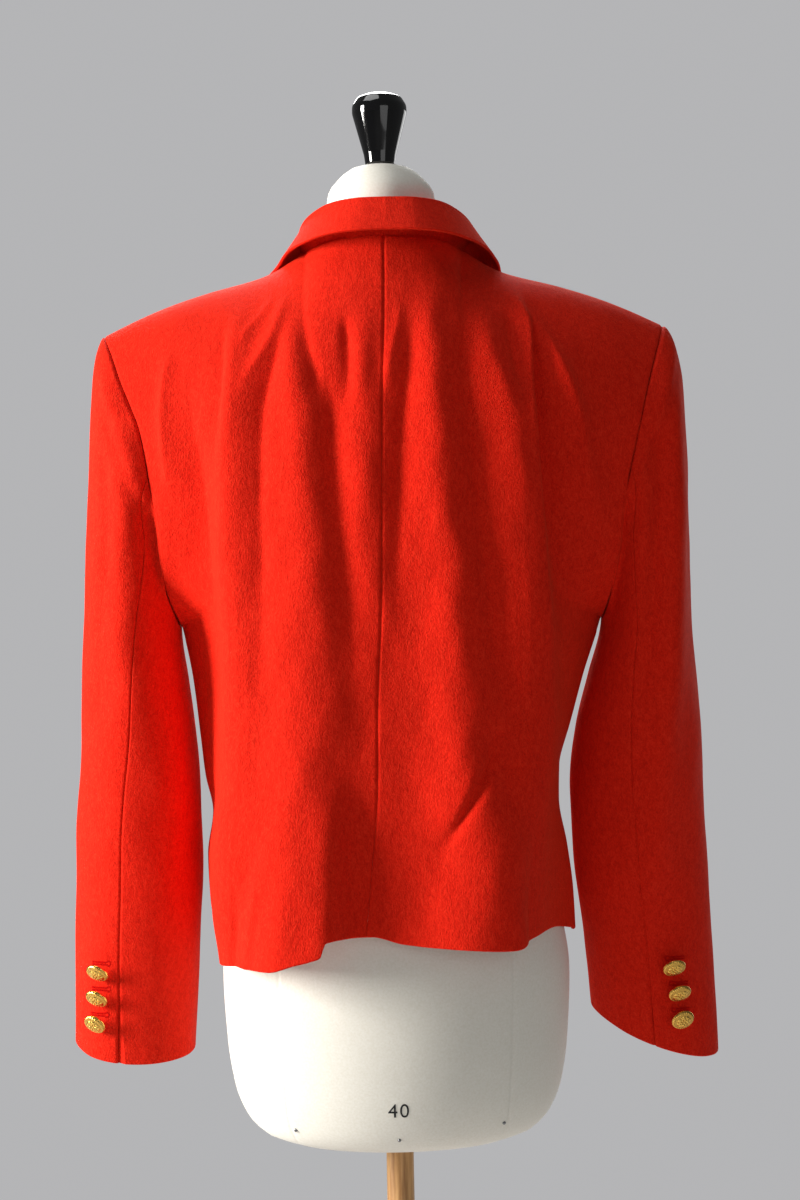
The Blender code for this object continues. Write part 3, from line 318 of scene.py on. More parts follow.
# The collar's stand at the neck, its fold and the edge of its fall, from the centre back round to
# the shoulder. In front of that the edge lies on the chest.
COLLAR = (
    Station((0.0000, 0.0580, 1.4494), (0.0000, 0.0700, 1.4800), (0.0000, 0.0900, 1.4490)),
    Station((0.0250, 0.0550, 1.4492), (0.0265, 0.0665, 1.4798), (0.0280, 0.0885, 1.4485)),
    Station((0.0445, 0.0440, 1.4478), (0.0500, 0.0540, 1.4775), (0.0550, 0.0780, 1.4465)),
    Station((0.0580, 0.0305, 1.4460), (0.0670, 0.0360, 1.4710), (0.0780, 0.0560, 1.4420)),
    Station((0.0650, 0.0160, 1.4442), (0.0765, 0.0170, 1.4635), (0.0920, 0.0310, 1.4375)),
    Station((0.0675, 0.0030, 1.4422), (0.0800, -0.0010, 1.4545), (0.1005, 0.0060, 1.4310)),
)
COLLAR_SHIFT = -0.0050
COLLAR_FOLD = 0.0075
COLLAR_SHIFT_FROM = 0.56
COLLAR_SHIFT_TO = 0.72
COLLAR_FREE = 0.45
GORGE_SEAM = 0.0042
# How far the stand goes on down inside the neck, and how far it leans in on its way
STAND_FOOT = 0.0075
STAND_LEAN = 0.014
# Where the collar's edge, and the line halfway to it, lie on the front, and how far off it
COLLAR_FRONT = table(Rest, MM,
    (106.5, 1416.5, 93, 1422.5, 6, 12), (112, 1410.5, 91, 1413, 5.2, 10),
    (118, 1404.5, 93, 1401, 4.4, 7), (124, 1398.5, 96.5, 1387, 4, 3))

# The form's rings: half widths, depths and how round each is (2 is an ellipse, less a lens)
FORM = table(Ring, 1,
    (1.5195, 0.016, 0.016, 0.016, 2), (1.5165, 0.027, 0.027, 0.026, 2),
    (1.506, 0.04, 0.04, 0.039, 2), (1.494, 0.0485, 0.048, 0.045, 2),
    (1.47, 0.0515, 0.051, 0.048, 2), (1.448, 0.055, 0.053, 0.048, 2),
    (1.437, 0.06, 0.054, 0.0465, 1.5), (1.429, 0.0775, 0.056, 0.0465, 1.25),
    (1.4222, 0.094, 0.06, 0.0475, 1.25), (1.4143, 0.113, 0.067, 0.057, 1.35),
    (1.402, 0.134, 0.074, 0.063, 1.6), (1.375, 0.155, 0.084, 0.073, 1.8),
    (1.34, 0.172, 0.094, 0.085, 2), (1.29, 0.175, 0.102, 0.099, 2),
    (1.23, 0.167, 0.106, 0.114, 2), (1.16, 0.154, 0.106, 0.12, 2), (1.1, 0.139, 0.101, 0.11, 2),
    (1.03, 0.123, 0.093, 0.096, 2), (0.98, 0.118, 0.09, 0.092, 2), (0.92, 0.128, 0.097, 0.095, 2),
    (0.85, 0.148, 0.109, 0.1, 2), (0.78, 0.159, 0.114, 0.103, 2), (0.72, 0.156, 0.112, 0.101, 2),
    (0.68, 0.15, 0.107, 0.096, 2), (0.654, 0.14, 0.099, 0.088, 2),
    (0.636, 0.123, 0.087, 0.076, 2), (0.628, 0.101, 0.071, 0.061, 2))
FORM_TOP = 1.5200
FORM_BOTTOM = 0.6280
# How far out from the form's middle its princess seams run
FORM_SEAM = table(Line, MM,
    (628, 88), (660, 98), (800, 104), (980, 72), (1160, 92), (1300, 98), (1420, 70))
FORM_SEAM_TOP = 1.360
FORM_SEAM_DEPTH = 0.0007
FORM_SEAM_WIDTH = 0.0007
FORM_PINS = table(Pin, 1,
    (0.65, 48), (0.644, 90), (0.653, 132))
PIN_RADIUS = 0.0017
FORM_NUMBER = "40"
FORM_NUMBER_HEIGHT = 0.6715
FORM_NUMBER_SIZE = 0.0178
INK_LIFT = 0.00025

FINIAL = (
    (0.0000, 1.5860), (0.0120, 1.5857), (0.0205, 1.5825), (0.0250, 1.5750), (0.0252, 1.5680),
    (0.0190, 1.5450), (0.0150, 1.5300), (0.0136, 1.5200), (0.0000, 1.5200),
)
POLE = ((0.0000, 0.6276), (0.0125, 0.6276), (0.0125, 0.0500), (0.0000, 0.0500))
BASE = (
    (0.0000, 0.0496), (0.0250, 0.0496), (0.0280, 0.0450), (0.0280, 0.0290), (0.0400, 0.0250),
    (0.1900, 0.0200), (0.2000, 0.0120), (0.1990, 0.0000), (0.0000, 0.0000),
)

CUFF_BUTTONS = {
    +1: (Button(0.7860, 62.0, 44.0), Button(0.7620, 61.5, 44.0), Button(0.7380, 60.0, 38.0)),
    -1: (Button(0.7810, 76.0, 46.0), Button(0.7570, 73.0, 46.0), Button(0.7320, 72.0, 36.0)),
}
CUFF_BUTTON_LIFT = 0.0090
FRONT_BUTTONS = (Button(1.035, 0.0, 0.0), Button(0.940, 0.0, 0.0))
FRONT_BUTTON_SCALE = 1.10
BUTTON_BACK = ((0.0108, 0.0010), (0.0104, -0.0004), (0.0020, -0.0010), (0.0000, -0.0010))
# Buttonholes: lengths on a sleeve and on the front, and their stitches
SLEEVE_HOLE = 0.017
FRONT_HOLE = 0.022
HOLE_ABOVE = 0.0070
EYE_RADIUS = 0.0022
STITCH_LENGTH = 0.0020
STITCH_LIFT = 0.00010
STITCH_WOBBLE = (0.84, 1.10)
STITCH_SIZES = {"Spacing": 0.00065, "Length": STITCH_LENGTH, "Thickness": 0.0006, "Seed": 7}
EYE_NECK = 0.0020
HOLE_BESIDE = 0.003
SLEEVE_RADIUS = 0.050
# A button: its half width, where its rope rim runs, and its thread shank
BUTTON_RADIUS = 0.0108
ROPE_RADIUS = 0.0095
SHANK_TOP = 0.0012
SHANK_LENGTH = 0.0030
# The rosette on each button, as rings of petals: radii, number, rise and turn
ROSETTE = table(Petals, 1,
    (-0.0016, 0.0016, 0, 0.0008, 0), (0.0016, 0.0048, 8, 0.0011, 0),
    (0.0042, 0.0072, 8, 0.0009, 1.5708), (0.0073, 0.0084, 40, 0.00055, 0))

# The wool's nap: its slant from upright in degrees, its length against its width, its fineness
NAP_SLANT = 24.0
NAP_STRETCH = 0.55
NAP_SCALE = 880.0
# Noises of the nap, of the pile under it and of the mottle: scale, detail and roughness
NAP_NOISES = ((NAP_SCALE, 3.0, 0.60), (NAP_SCALE / 3, 2.0, 0.5), (38.0, 3.0, 0.5))

# The floor stops here, below the photograph's frame
FLOOR_BACK = -2.1

# A long key from the wearer's left, a soft fill behind, and light for the top and the front
MIDDLE = (0.0, 0.0, 1.10)
WHITE = (1.0, 1.0, 1.0)
LIGHTS = (
    Light("key", (2.9, 0.75, 1.65), MIDDLE, (0.8, 1.4), 172.0, (1.0, 0.97, 0.93)),
    Light("fill", (-1.2, 3.2, 1.4), MIDDLE, (2.0, 2.0), 12.0, WHITE),
    Light("top", (0.6, 0.2, 3.0), (0.0, 0.0, 1.3), (1.0, 1.0), 9.0, WHITE),
    Light("front", (0.25, -2.0, 2.9), MIDDLE, (1.2, 1.2), 62.0, WHITE),
    Light("low front", (-1.8, -2.6, 1.2), MIDDLE, (1.8, 1.8), 16.0, WHITE),
)
SKY_COLOUR = (0.80, 0.81, 0.82, 1.0)
SKY_STRENGTH = 0.13
BACKDROP = (0.46, 0.46, 0.47, 1.0)

# Colours, as sRGB
COLOURS = {
    "wool": "E42212",
    "wool_dark": "D21B0F",
    "wool_light": "EE2E1B",
    "wool_sheen": "FF7A4C",
    "thread": "D0120C",
    "linen": "F1EEE4",
    "linen_dark": "E9E5D8",
    "gold": "F0C060",
    # the darker gold below is painted shade for the buttons' hollows
    "gold_hollow_shade": "4A2C0A",
    "lacquer": "050506",
    "beech": "C79A66",
    "beech_dark": "9A6C3D",
    "steel": "8E8E90",
    "ink": "1B1B1C",
    "floor": "C9C9C9",
}


def along(rows, key, column):
    """The rows' named column at each `key`, on a smooth line that never overshoots them."""
    points = sorted((row[0], getattr(row, column)) for row in rows)
    keys = np.array([point[0] for point in points])
    values = np.array([point[1] for point in points])
    slopes = np.diff(values) / np.diff(keys)
    before = np.concatenate([slopes[:1], slopes])
    after = np.concatenate([slopes, slopes[-1:]])
    total = np.where(before + after == 0, 1.0, before + after)
    tangents = np.where(before * after > 0, 2 * before * after / total, 0.0)
    key = np.clip(np.asarray(key, float), keys[0], keys[-1])
    i = np.clip(np.searchsorted(keys, key) - 1, 0, len(slopes) - 1)
    step = keys[i + 1] - keys[i]
    t = (key - keys[i]) / step
    ease = t * t * (3 - 2 * t)
    start = t * (1 - t) ** 2 * tangents[i] * step
    end = t * t * (t - 1) * tangents[i + 1] * step
    return values[i] + ease * (values[i + 1] - values[i]) + start + end


def eased(t):
    t = np.clip(t, 0.0, 1.0)
    return t * t * (3 - 2 * t)


def side_name(side):
    return "left" if side > 0 else "right"


def armhole_depth(height):
    """How far the armhole's edge stands from the side, from 0 at the underarm to 1."""
    up = np.clip((height - UNDERARM) / ARMHOLE_ROUND, 0.0, 1.0)
    return np.sqrt(1 - (1 - up) ** 2)


def shoulder_share(height):
    """From 0 on the shoulder line to 1 where the cloth has rolled over it."""
    drop = np.clip((SHOULDER_TOP - height) / SHOULDER_DROP, 0.0, 1.0)
    return np.sqrt(1 - (1 - drop) ** 2)


def neck_depth(x, depth):
    """Y of the neckline, a quarter ellipse, and then of the shoulder line."""
    near = np.minimum(np.abs(x) / NECK_SIDE, 1.0)
    return NECK_Y + (depth - NECK_Y) * np.sqrt(1 - near * near)


def flank_depth(height):
    """The armhole's depth as the flank beside it feels it, with no sudden turn at the underarm."""
    return eased((height - FLANK_BOTTOM) / (FLANK_TOP - FLANK_BOTTOM))


def section(across, ridge, edge, centre_depth, ridge_depth, edge_depth, flank):
    """Points of the level section, from the centre (0) over its ridge to its edge (1)."""

    def sharp(s):
        s = np.abs(s)
        u = s / RIDGE_SHARE
        inner = (ridge * u, centre_depth + (ridge_depth - centre_depth) * u * u)
        u = (s - RIDGE_SHARE) / (1 - RIDGE_SHARE)
        depth = flank + (edge_depth - flank) * eased((u - 0.35) / 0.65)
        outer = (ridge + (edge - ridge) * u, ridge_depth + (depth - ridge_depth) * u)
        return [np.where(s < RIDGE_SHARE, a, b) for a, b in zip(inner, outer)]

    room = np.minimum(across, 1 - across) / RIDGE_ROUND
    reach = RIDGE_ROUND * np.minimum(1.0, room)
    taps = (-1.0, -0.6, -0.2, 0.2, 0.6, 1.0)
    spots = [sharp(across + reach * tap) for tap in taps]
    return sum(p[0] for p in spots) / len(taps), sum(p[1] for p in spots) / len(taps)


def section_width(across, ridge, edge):
    """How far across the level section's points lie, which its depths don't change."""
    return section(across, ridge, edge, 0.0, 0.0, 0.0, 0.0)[0]


def stacked(x, y, z):
    return np.stack(np.broadcast_arrays(x, y, z), axis=-1)


def unit(vectors):
    return vectors / np.linalg.norm(vectors, axis=-1, keepdims=True)


def uneven(x, height):
    """How far slow waves in the cloth stand out, so that no panel is perfectly smooth."""
    total = 0.0 * (x + height)
    for n, wave in enumerate(CLOTH_WAVES):
        lean = 0.35 * math.sin(2.4 * n)
        bend = 1.4 * np.sin(height / (0.9 * wave.down) + 1.1 * n)
        phase = 6.28318 * (x / wave.across + lean * height / wave.across) + 1.7 * n + bend
        wander = 1.2 * np.sin(x / (0.8 * wave.across) + 2.3 * n)
        total = total + wave.rise * np.sin(phase) * np.sin(6.28318 * height / wave.down + wander)
    return total


def fold_rise(folds, x, height, sharpness=2.0):
    """How far the folds stand out at places across and heights."""
    total = np.zeros(np.broadcast(x, height).shape)
    for name, rows in folds.items():
        rise = along(rows, height, "rise")
        from_ridge = x - along(rows, height, "at")
        inner = along(rows, height, "inner")
        outer = along(rows, height, "outer")
        width = np.where(from_ridge < 0, inner, outer)
        power = sharpness
        if name == STEEP_FOLD:
            steep = eased((STEEP_TOP - height) / (STEEP_TOP - STEEP_BOTTOM))
            power = np.where(from_ridge < 0, power + (STEEP_POWER - power) * steep, power)
        inside = (height <= max(row.height for row in rows)) * 1.0
        total = total + inside * rise * np.exp(-np.abs(from_ridge / width) ** power)
    return total


def back_grid(side, across, height):
    """The back's outer face: points by stations across (columns) and heights (rows)."""
    down = (SHOULDER_TOP - height) / (SHOULDER_TOP - FRONT_HEM_SIDE[side])
    half = side_name(side)
    rolled = shoulder_share(height)
    edge_depth = ARMHOLE_BACK * armhole_depth(height)
    ridge = along(BACK_RIDGE, height, half)
    edge = along(EDGE, height, half)
    x = section_width(across, ridge, edge)
    top_ridge = along(BACK_RIDGE, SHOULDER_TOP, half)
    top_edge = along(EDGE, SHOULDER_TOP, half)
    top = along(SHOULDER, section_width(across, top_ridge, top_edge), "value")
    hem = along(BACK_HEM, side * x, "value")
    z = top - down * (top - hem)
    centre_depth = along(BACK_DEPTH, z, "centre")
    ridge_depth = along(BACK_DEPTH, z, "ridge")
    flank = ARMHOLE_BACK * flank_depth(height)
    full = section(across, ridge, edge, centre_depth, ridge_depth, edge_depth, flank)[1]
    y = (1 - rolled) * neck_depth(x, NECK_BACK) + rolled * full
    x = side * x + along(CENTRE_SEAM, z, "value") * (1 - across) ** 2
    fade = rolled * eased((1 - across) / FADE_AT_EDGE)
    creases = CREASE_GAIN * fold_rise(BACK_CREASES, x, z, CREASE_POWER) + WAVE_GAIN * uneven(x, z)
    rise = (fold_rise(BACK_FOLDS, x, z) + creases) * fade
    lean = 0.9 * eased(across / RIDGE_SHARE) ** 2
    return np.stack([x + rise * side * np.sin(lean), y + rise * np.cos(lean), z], axis=-1)


def front_edge(height):
    """Where the front's inner edge lies: the roll line, then the overlap past the centre."""
    up = np.clip((height - BREAK_HEIGHT) / (NECK_POINT - BREAK_HEIGHT), 0.0, 1.0)
    return -FRONT_OVERLAP + (ROLL_TOP + FRONT_OVERLAP) * up ** 1.15


def front_grid(side, across, height):
    """The front's outer face, from its inner edge (0) to the armhole and side (1)."""
    half = side_name(side)
    down = (SHOULDER_TOP - height) / (SHOULDER_TOP - FRONT_HEM_SIDE[side])
    rolled = shoulder_share(height)
    edge_depth = ARMHOLE_FRONT * armhole_depth(height)
    ridge = along(FRONT_RIDGE, height, half)
    edge = along(EDGE, height, half)
    inner = front_edge(NECK_POINT - down * (NECK_POINT - FRONT_HEM))
    plain = section_width(across, ridge, edge)
    x = inner + (plain / edge) * (edge - inner)
    down_neck = np.maximum(1 - across / NECK_FRONT_SHARE, 0.0)
    share = np.maximum((across - NECK_FRONT_SHARE) / (1 - NECK_FRONT_SHARE), 0.0)
    in_neck = across < NECK_FRONT_SHARE
    neck_x = inner + (NECK_SIDE - ROLL_TOP) * (across / NECK_FRONT_SHARE)
    shoulder_x = NECK_SIDE + (edge - NECK_SIDE) * share
    x = x + (np.where(in_neck, neck_x, shoulder_x) - x) * (1 - rolled)
    top_edge = along(EDGE, SHOULDER_TOP, half)
    corner = along(SHOULDER, NECK_SIDE, "value")
    shoulder = along(SHOULDER, NECK_SIDE + (top_edge - NECK_SIDE) * share, "value")
    top = np.where(in_neck, corner - 0.031 * down_neck ** 1.3, shoulder)
    top_y = NECK_Y - 0.053 * down_neck
    side_hem = FRONT_HEM_SIDE[side]
    hem = side_hem + (FRONT_HEM - side_hem) * eased((1 - across) / FRONT_HEM_EASE)
    z = top - down * (top - hem)
    centre_depth = along(FRONT_DEPTH, z, "centre")
    ridge_depth = along(FRONT_DEPTH, z, "ridge")
    flank = ARMHOLE_FRONT * flank_depth(height)
    full = section(across, ridge, edge, centre_depth, ridge_depth, edge_depth, flank)[1]
    y = (1 - rolled) * top_y + rolled * full
    if side > 0:
        y = y + FRONT_UNDER * eased((0.050 - x) / 0.030)
    y = y - uneven(x + 0.3, z) * rolled * eased((1 - across) / FADE_AT_EDGE)
    x = side * x
    return np.stack([x + 0 * y, y, z + 0 * y], axis=-1)


def front_spot(side, across, height):
    return Vector(front_grid(side, np.array([[across]]), np.array([[height]]))[0, 0])


def sleeve_tube(side, turn, height):
    """Points of the sleeve's own tube, `turn` degrees round it from its outer side."""
    rows = SLEEVE_LEFT if side > 0 else SLEEVE_RIGHT
    outer = along(rows, height, "outer")
    inner = along(rows, height, "inner")
    angle = np.radians(turn)
    x = (outer + inner) / 2 + (outer - inner) / 2 * np.cos(angle)
    y = along(rows, height, "centre_y") + along(rows, height, "half_depth") * np.sin(angle)
    return stacked(side * x, y, height)


def armhole_height(turn):
    """Height of the armhole's edge, by the turn round the sleeve."""
    middle = (SHOULDER_TOP + UNDERARM) / 2
    return middle + (SHOULDER_TOP - UNDERARM) / 2 * np.cos(np.radians(turn))


def armhole_spot(side, turn):
    height = armhole_height(turn)
    depth = np.where(np.sin(np.radians(turn)) > 0, ARMHOLE_BACK, ARMHOLE_FRONT)
    y = depth * armhole_depth(height) * shoulder_share(height)
    y = y + neck_depth(0.2, 0.0) * (1 - shoulder_share(height))
    x = side * along(EDGE, height, side_name(side))
    return stacked(x, y, height)


def cuff_height(side, turn):
    cuff = CUFFS[side]
    angle = np.radians(turn)
    return cuff.height + cuff.across * np.cos(angle) + cuff.along * np.sin(angle)


def sleeve_grid(side, turn, down):
    """The sleeve's outer face, by turns (columns) and shares of the way down (rows)."""
    start = armhole_spot(side, turn)
    start_z = start[..., 2]
    height = start_z + (cuff_height(side, turn) - start_z) * down
    drop = np.minimum((start_z - height) / CAP_DEPTH, 1.0)
    puffed = eased((np.cos(np.radians(turn)) - 0.1) / 0.5)
    left = (1 - drop) ** 2
    left = left + (1 - np.sqrt(1 - left) - left) * puffed
    near = np.maximum(1 - np.abs(turn - 90.0) / 165.0, 0.0)
    turned = turn + near * (along(BACK_SEAM[side], height, "value") - 90.0)
    turned_at_start = turn + near * (along(BACK_SEAM[side], start_z, "value") - 90.0)
    gap = start - sleeve_tube(side, turned_at_start, start_z)
    spots = sleeve_tube(side, turned, height) + gap * left[..., None]
    rise = np.zeros(height.shape)
    for rows in SLEEVE_FOLDS[side]:
        off = turned - along(rows, height, "at")
        width = np.where(off < 0, along(rows, height, "inner"), along(rows, height, "outer"))
        rise += along(rows, height, "rise") * np.exp(-(off / width) ** 2)
    for dent in SLEEVE_DENTS[side]:
        off = ((turned - dent.at) / dent.wide) ** 2 + ((height - dent.height) / dent.high) ** 2
        rise += dent.depth * np.exp(-off)
    angle = np.radians(turned)
    rise += 1.3 * uneven(angle * 0.05 + side, height)
    push = np.stack([side * np.cos(angle), np.sin(angle), 0 * angle], axis=-1)
    ease = CAP_EASE * np.exp(-(((start_z - height - 0.011) / 0.008) ** 2))
    ease = ease * eased((np.sin(np.radians(turn)) - 0.1) / 0.5)
    ease = ease * eased((np.cos(np.radians(turn)) + 0.3) / 0.6)
    return spots + push * (rise * (1 - left) + ease)[..., None]


def spaced(start, end, count):
    return np.linspace(start, end, count + 1)


def crowded(count, margin):
    """Stations from 0 to 1, with a few more within `margin` of each end for the seam's roll."""
    ends = margin * np.linspace(0.0, 1.0, SEAM_STEPS + 1)[:-1]
    middle = np.linspace(margin, 1 - margin, count + 1)
    return np.concatenate([ends, middle, (1 - ends)[::-1]])


def grid_normals(grid, outward):
    """Normals of a grid of points, which face the way that `outward` says (+1 or -1)."""
    across = np.gradient(grid, axis=1)
    down = np.gradient(grid, axis=0)
    normal = np.cross(across, down) * outward
    length = np.linalg.norm(normal, axis=-1, keepdims=True)
    return normal / np.where(length == 0, 1.0, length)


def edge_distance(grid, edge):
    """How far each point is from one edge of the grid, along its row or column."""
    axis = 1 if edge in ("first", "last") else 0
    steps = np.linalg.norm(np.diff(grid, axis=axis), axis=-1)
    if edge in ("last", "bottom"):
        steps = np.flip(steps, axis=axis)
    zeros = np.zeros_like(np.take(steps, [0], axis=axis))
    far = np.concatenate([zeros, np.cumsum(steps, axis=axis)], axis=axis)
    return np.flip(far, axis=axis) if edge in ("last", "bottom") else far


def rolled_in(grid, normals, edges):
    """The grid with its sewn edges rolled in, as cloth turns down into a pressed seam."""
    depth = np.zeros(grid.shape[:2])
    for edge in edges:
        far = edge_distance(grid, edge)
        depth = np.maximum(depth, SEAM_ROLL * np.exp(-((far / SEAM_ROLL_WIDTH) ** 2)))
    return grid - normals * depth[..., None]


def rim_of(grid, edge):
    axis = 1 if edge in ("first", "last") else 0
    return np.take(grid, [0 if edge in ("first", "top") else -1], axis=axis), axis


def with_strips(grid, normals, edge, strips):
    """The grid and its normals with more rows or columns past one edge, nearest first."""
    facing, axis = rim_of(normals, edge)
    if edge in ("first", "top"):
        strips = strips[::-1]
        grid = np.concatenate([*strips, grid], axis=axis)
        normals = np.concatenate([facing] * len(strips) + [normals], axis=axis)
    else:
        grid = np.concatenate([grid, *strips], axis=axis)
        normals = np.concatenate([normals] + [facing] * len(strips), axis=axis)
    return grid, normals


def turned_in(grid, normals, edge):
    """Turns one free edge straight in, as a folded edge does."""
    rim = rim_of(grid, edge)[0]
    facing = rim_of(normals, edge)[0]
    return with_strips(grid, normals, edge, [rim - facing * depth for depth in EDGE_TURN])


def tucked(grid, normals, edge, lean, outer):
    """Runs a seam's allowance on under the piece that it is sewn to."""
    rim, axis = rim_of(grid, edge)
    facing = rim_of(normals, edge)[0]
    if outer is not None:
        facing = unit(facing + 1.5 * outer)
    second = np.take(grid, [1 if edge in ("first", "top") else -2], axis=axis)
    along_rim = unit(np.gradient(rim, axis=1 - axis))
    past = 0.4 * unit(rim - second) + lean
    for direction in (along_rim, facing):
        past = past - direction * (past * direction).sum(axis=-1, keepdims=True)
    past = unit(past)
    reach = TUCK_REACH
    if axis == 1:
        reach = TUCK_REACH * eased((UNDERARM - 0.004 - rim[..., 2:3]) / 0.010)
    under = rim - facing * TUCK_DEPTH
    return with_strips(grid, normals, edge, [under, under + past * reach])


def hemmed(grid, normals):
    """The grid with rows added past its last one, which turn under as a hem."""
    last = grid[-1]
    down = unit(last - grid[-2])
    inward = -normals[-1]
    rows = []
    for angle in np.radians(HEM_ANGLES):
        round_in = inward * (1 - np.cos(angle)) + down * np.sin(angle)
        rows.append(last + HEM_RADIUS * round_in)
    for share in HEM_SHARES:
        rows.append(last + inward * 2 * HEM_RADIUS - down * HEM_TURN * share)
    return np.concatenate([grid, np.array(rows)])


def points_and_faces(grid, outward):
    """The grid's points and its four-cornered faces, wound so that they face outward."""
    high, wide = grid.shape[:2]
    index = np.arange(high * wide).reshape(high, wide)
    quads = np.stack([index[:-1, :-1], index[:-1, 1:], index[1:, 1:], index[1:, :-1]], axis=-1)
    quads = quads.reshape(-1, 4)
    if outward < 0:
        quads = quads[:, ::-1]
    return grid.reshape(-1, 3).tolist(), quads.tolist()


def grid_mesh(name, grid, outward):
    """A mesh of the grid's points, with the flat place of each as its UV, in metres."""
    mesh = bpy.data.meshes.new(name)
    points, faces = points_and_faces(grid, outward)
    mesh.from_pydata(points, [], faces)
    u = edge_distance(grid, "first")
    v = edge_distance(grid, "top")
    flat = np.stack([u, -v], axis=-1).reshape(-1, 2)
    layer = mesh.uv_layers.new(name="flat")
    corner = np.empty(len(mesh.loops), np.int32)
    mesh.loops.foreach_get("vertex_index", corner)
    layer.data.foreach_set("uv", flat[corner].ravel())
    mesh.shade_smooth()
    return mesh


def placed(name, data):
    thing = bpy.data.objects.new(name, data)
    bpy.context.scene.collection.objects.link(thing)
    return thing


def baked(thing):
    """A plain mesh of an object's evaluated shape."""
    bpy.context.view_layer.update()
    made = thing.evaluated_get(bpy.context.evaluated_depsgraph_get())
    return bpy.data.meshes.new_from_object(made)


def welded(piece, near):
    weld = piece.modifiers.new("weld", "WELD")
    weld.merge_threshold = near


def add_piece(name, mesh, finish, nodes):
    piece = placed(name, mesh)
    piece.data.materials.append(finish)
    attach(piece, "root")
    if nodes:
        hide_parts(*nodes)
    return piece


def cloth(name, grid, outward, finish, seams=(), tucks=(), lean=0.0, outer=None, edges=(),
          hem=True, lap=None):
    """A piece of wool: outer points with sewn edges rolled in, free edges turned and a wall."""
    normals = grid_normals(grid, outward)
    length = np.linalg.norm(np.diff(grid, axis=0), axis=-1).sum(axis=0).max()
    grid = rolled_in(grid, normals, seams)
    if lap is not None:
        grid, normals = with_strips(grid, normals, "first", lap)
    for edge in tucks:
        grid, normals = tucked(grid, normals, edge, np.asarray(lean), outer)
    for edge in edges:
        grid, normals = turned_in(grid, normals, edge)
    if hem:
        grid = hemmed(grid, normals)
        length += HEM_TURN
    mesh = grid_mesh(name, grid, outward)
    piece = add_piece(name + "_wool", mesh, finish, [name])
    wall = piece.modifiers.new("wall", "SOLIDIFY")
    wall.thickness = WALL
    wall.offset = -1.0
    return piece


def make_panels(surface, name, forward, columns, finish):
    trees = {}
    for side in (+1, -1):
        hem = FRONT_HEM_SIDE[side]
        height = SHOULDER_TOP + (hem - SHOULDER_TOP) * crowded(196, 0.004)[:, None]
        across = crowded(columns, 0.016)[None, :]
        grid = surface(side, across, height)
        node = f"{name}_{side_name(side)}"
        outward = side * forward
        grid[:, -1, 0] -= side * SEAM_GAP
        if forward > 0:
            grid[:, 0, 0] += side * SEAM_GAP
        seams = ("first", "last", "top") if forward > 0 else ("last", "top")
        edges = () if forward > 0 else ("first",)
        tucks = () if forward > 0 else ("last",)
        cloth(node, grid, outward, finish, seams, tucks, edges=edges)
        trees[side] = grid_tree(grid, outward)
    return trees


def grid_tree(grid, outward):
    return BVHTree.FromPolygons(*points_and_faces(grid, outward))


def rested(spot, tree, lift):
    """The spot moved out of the panel under it until it stands `lift` off it."""
    for _ in range(2):
        near, normal = tree.find_nearest(spot)[:2]
        off = spot - near
        beside = (off - normal * off.dot(normal)).length
        if off.dot(normal) < lift and beside < BESIDE:
            spot = spot + normal * (lift - off.dot(normal))
    return spot


def lapel_grid(side, out, up, tree):
    """The lapel's outer face: the front's own points, moved out by a wall and a little air."""
    bottom = LAPEL_BREAK[side]
    height = bottom + (along(LAPEL_TOP_EDGE, out, "value") - bottom) * up
    width = 0.014 + (LAPEL_POINT_ACROSS - 0.014) * up ** 0.85
    grid = front_grid(side, out * width, height)
    lift = LAPEL_LAYER + LAPEL_CROWN * np.sin(math.pi * out) + LAPEL_EDGE_LIFT * out ** 3
    for j in range(grid.shape[0]):
        for i in range(grid.shape[1]):
            grid[j, i] = rested(Vector(grid[j, i]), tree, float(lift[0, i]))
    return grid


def make_lapels(fronts, finish):
    for side in (+1, -1):
        out = crowded(44, 0.03)[None, :]
        up = crowded(90, 0.008)[:, None]
        grid = lapel_grid(side, out, up, fronts[side])[::-1]
        name = "lapel_" + side_name(side)
        edges = ("first", "last", "top")
        cloth(name, grid, -side, finish, edges=edges, hem=False)


def on_chest(x, z, lift, front):
    """The place on a front's face that is seen from ahead at x and z, moved out by `lift`."""
    hit, normal = front.ray_cast(Vector((x, -1.0, z)), Vector((0.0, 1.0, 0.0)))[:2]
    return hit + normal * lift


def collar_stations(side, fronts):
    """Guide points of one half, from the centre back round to the collar's point."""
    stations = []
    for row in COLLAR:
        neck, roll, edge = (Vector(point) for point in row)
        stations.append((neck, roll, roll.lerp(edge, 0.62), edge))
    for step, row in enumerate(COLLAR_FRONT, 1):
        left = 1 - step / len(COLLAR_FRONT)
        edge = on_chest(side * row.edge_x, row.edge_z, row.lift, fronts[side])
        edge.x *= side
        if left == 0:
            out = np.array([[0.0, 0.25, 0.5]])
            gorge = lapel_grid(side, out, np.array([[1.0]]), fronts[side])[0]
            ends = [Vector((side * x, y, z + GORGE_SEAM)) for x, y, z in gorge]
            stations.append((*ends, edge))
            continue
        neck = front_spot(side, NECK_FRONT_SHARE * left, SHOULDER_TOP - 0.0050 * (1 - left))
        neck = Vector((side * neck.x - 0.0015 * left, neck.y, neck.z + 0.0038))
        roll = neck + Vector((0.90, -0.35 - 0.55 * (1 - left), 1.0 - 0.75 * (1 - left))) * row.stand
        middle = on_chest(side * row.middle_x, row.middle_z, row.lift, fronts[side])
        middle.x *= side
        stations.append((neck, roll, middle, edge))
    return stations


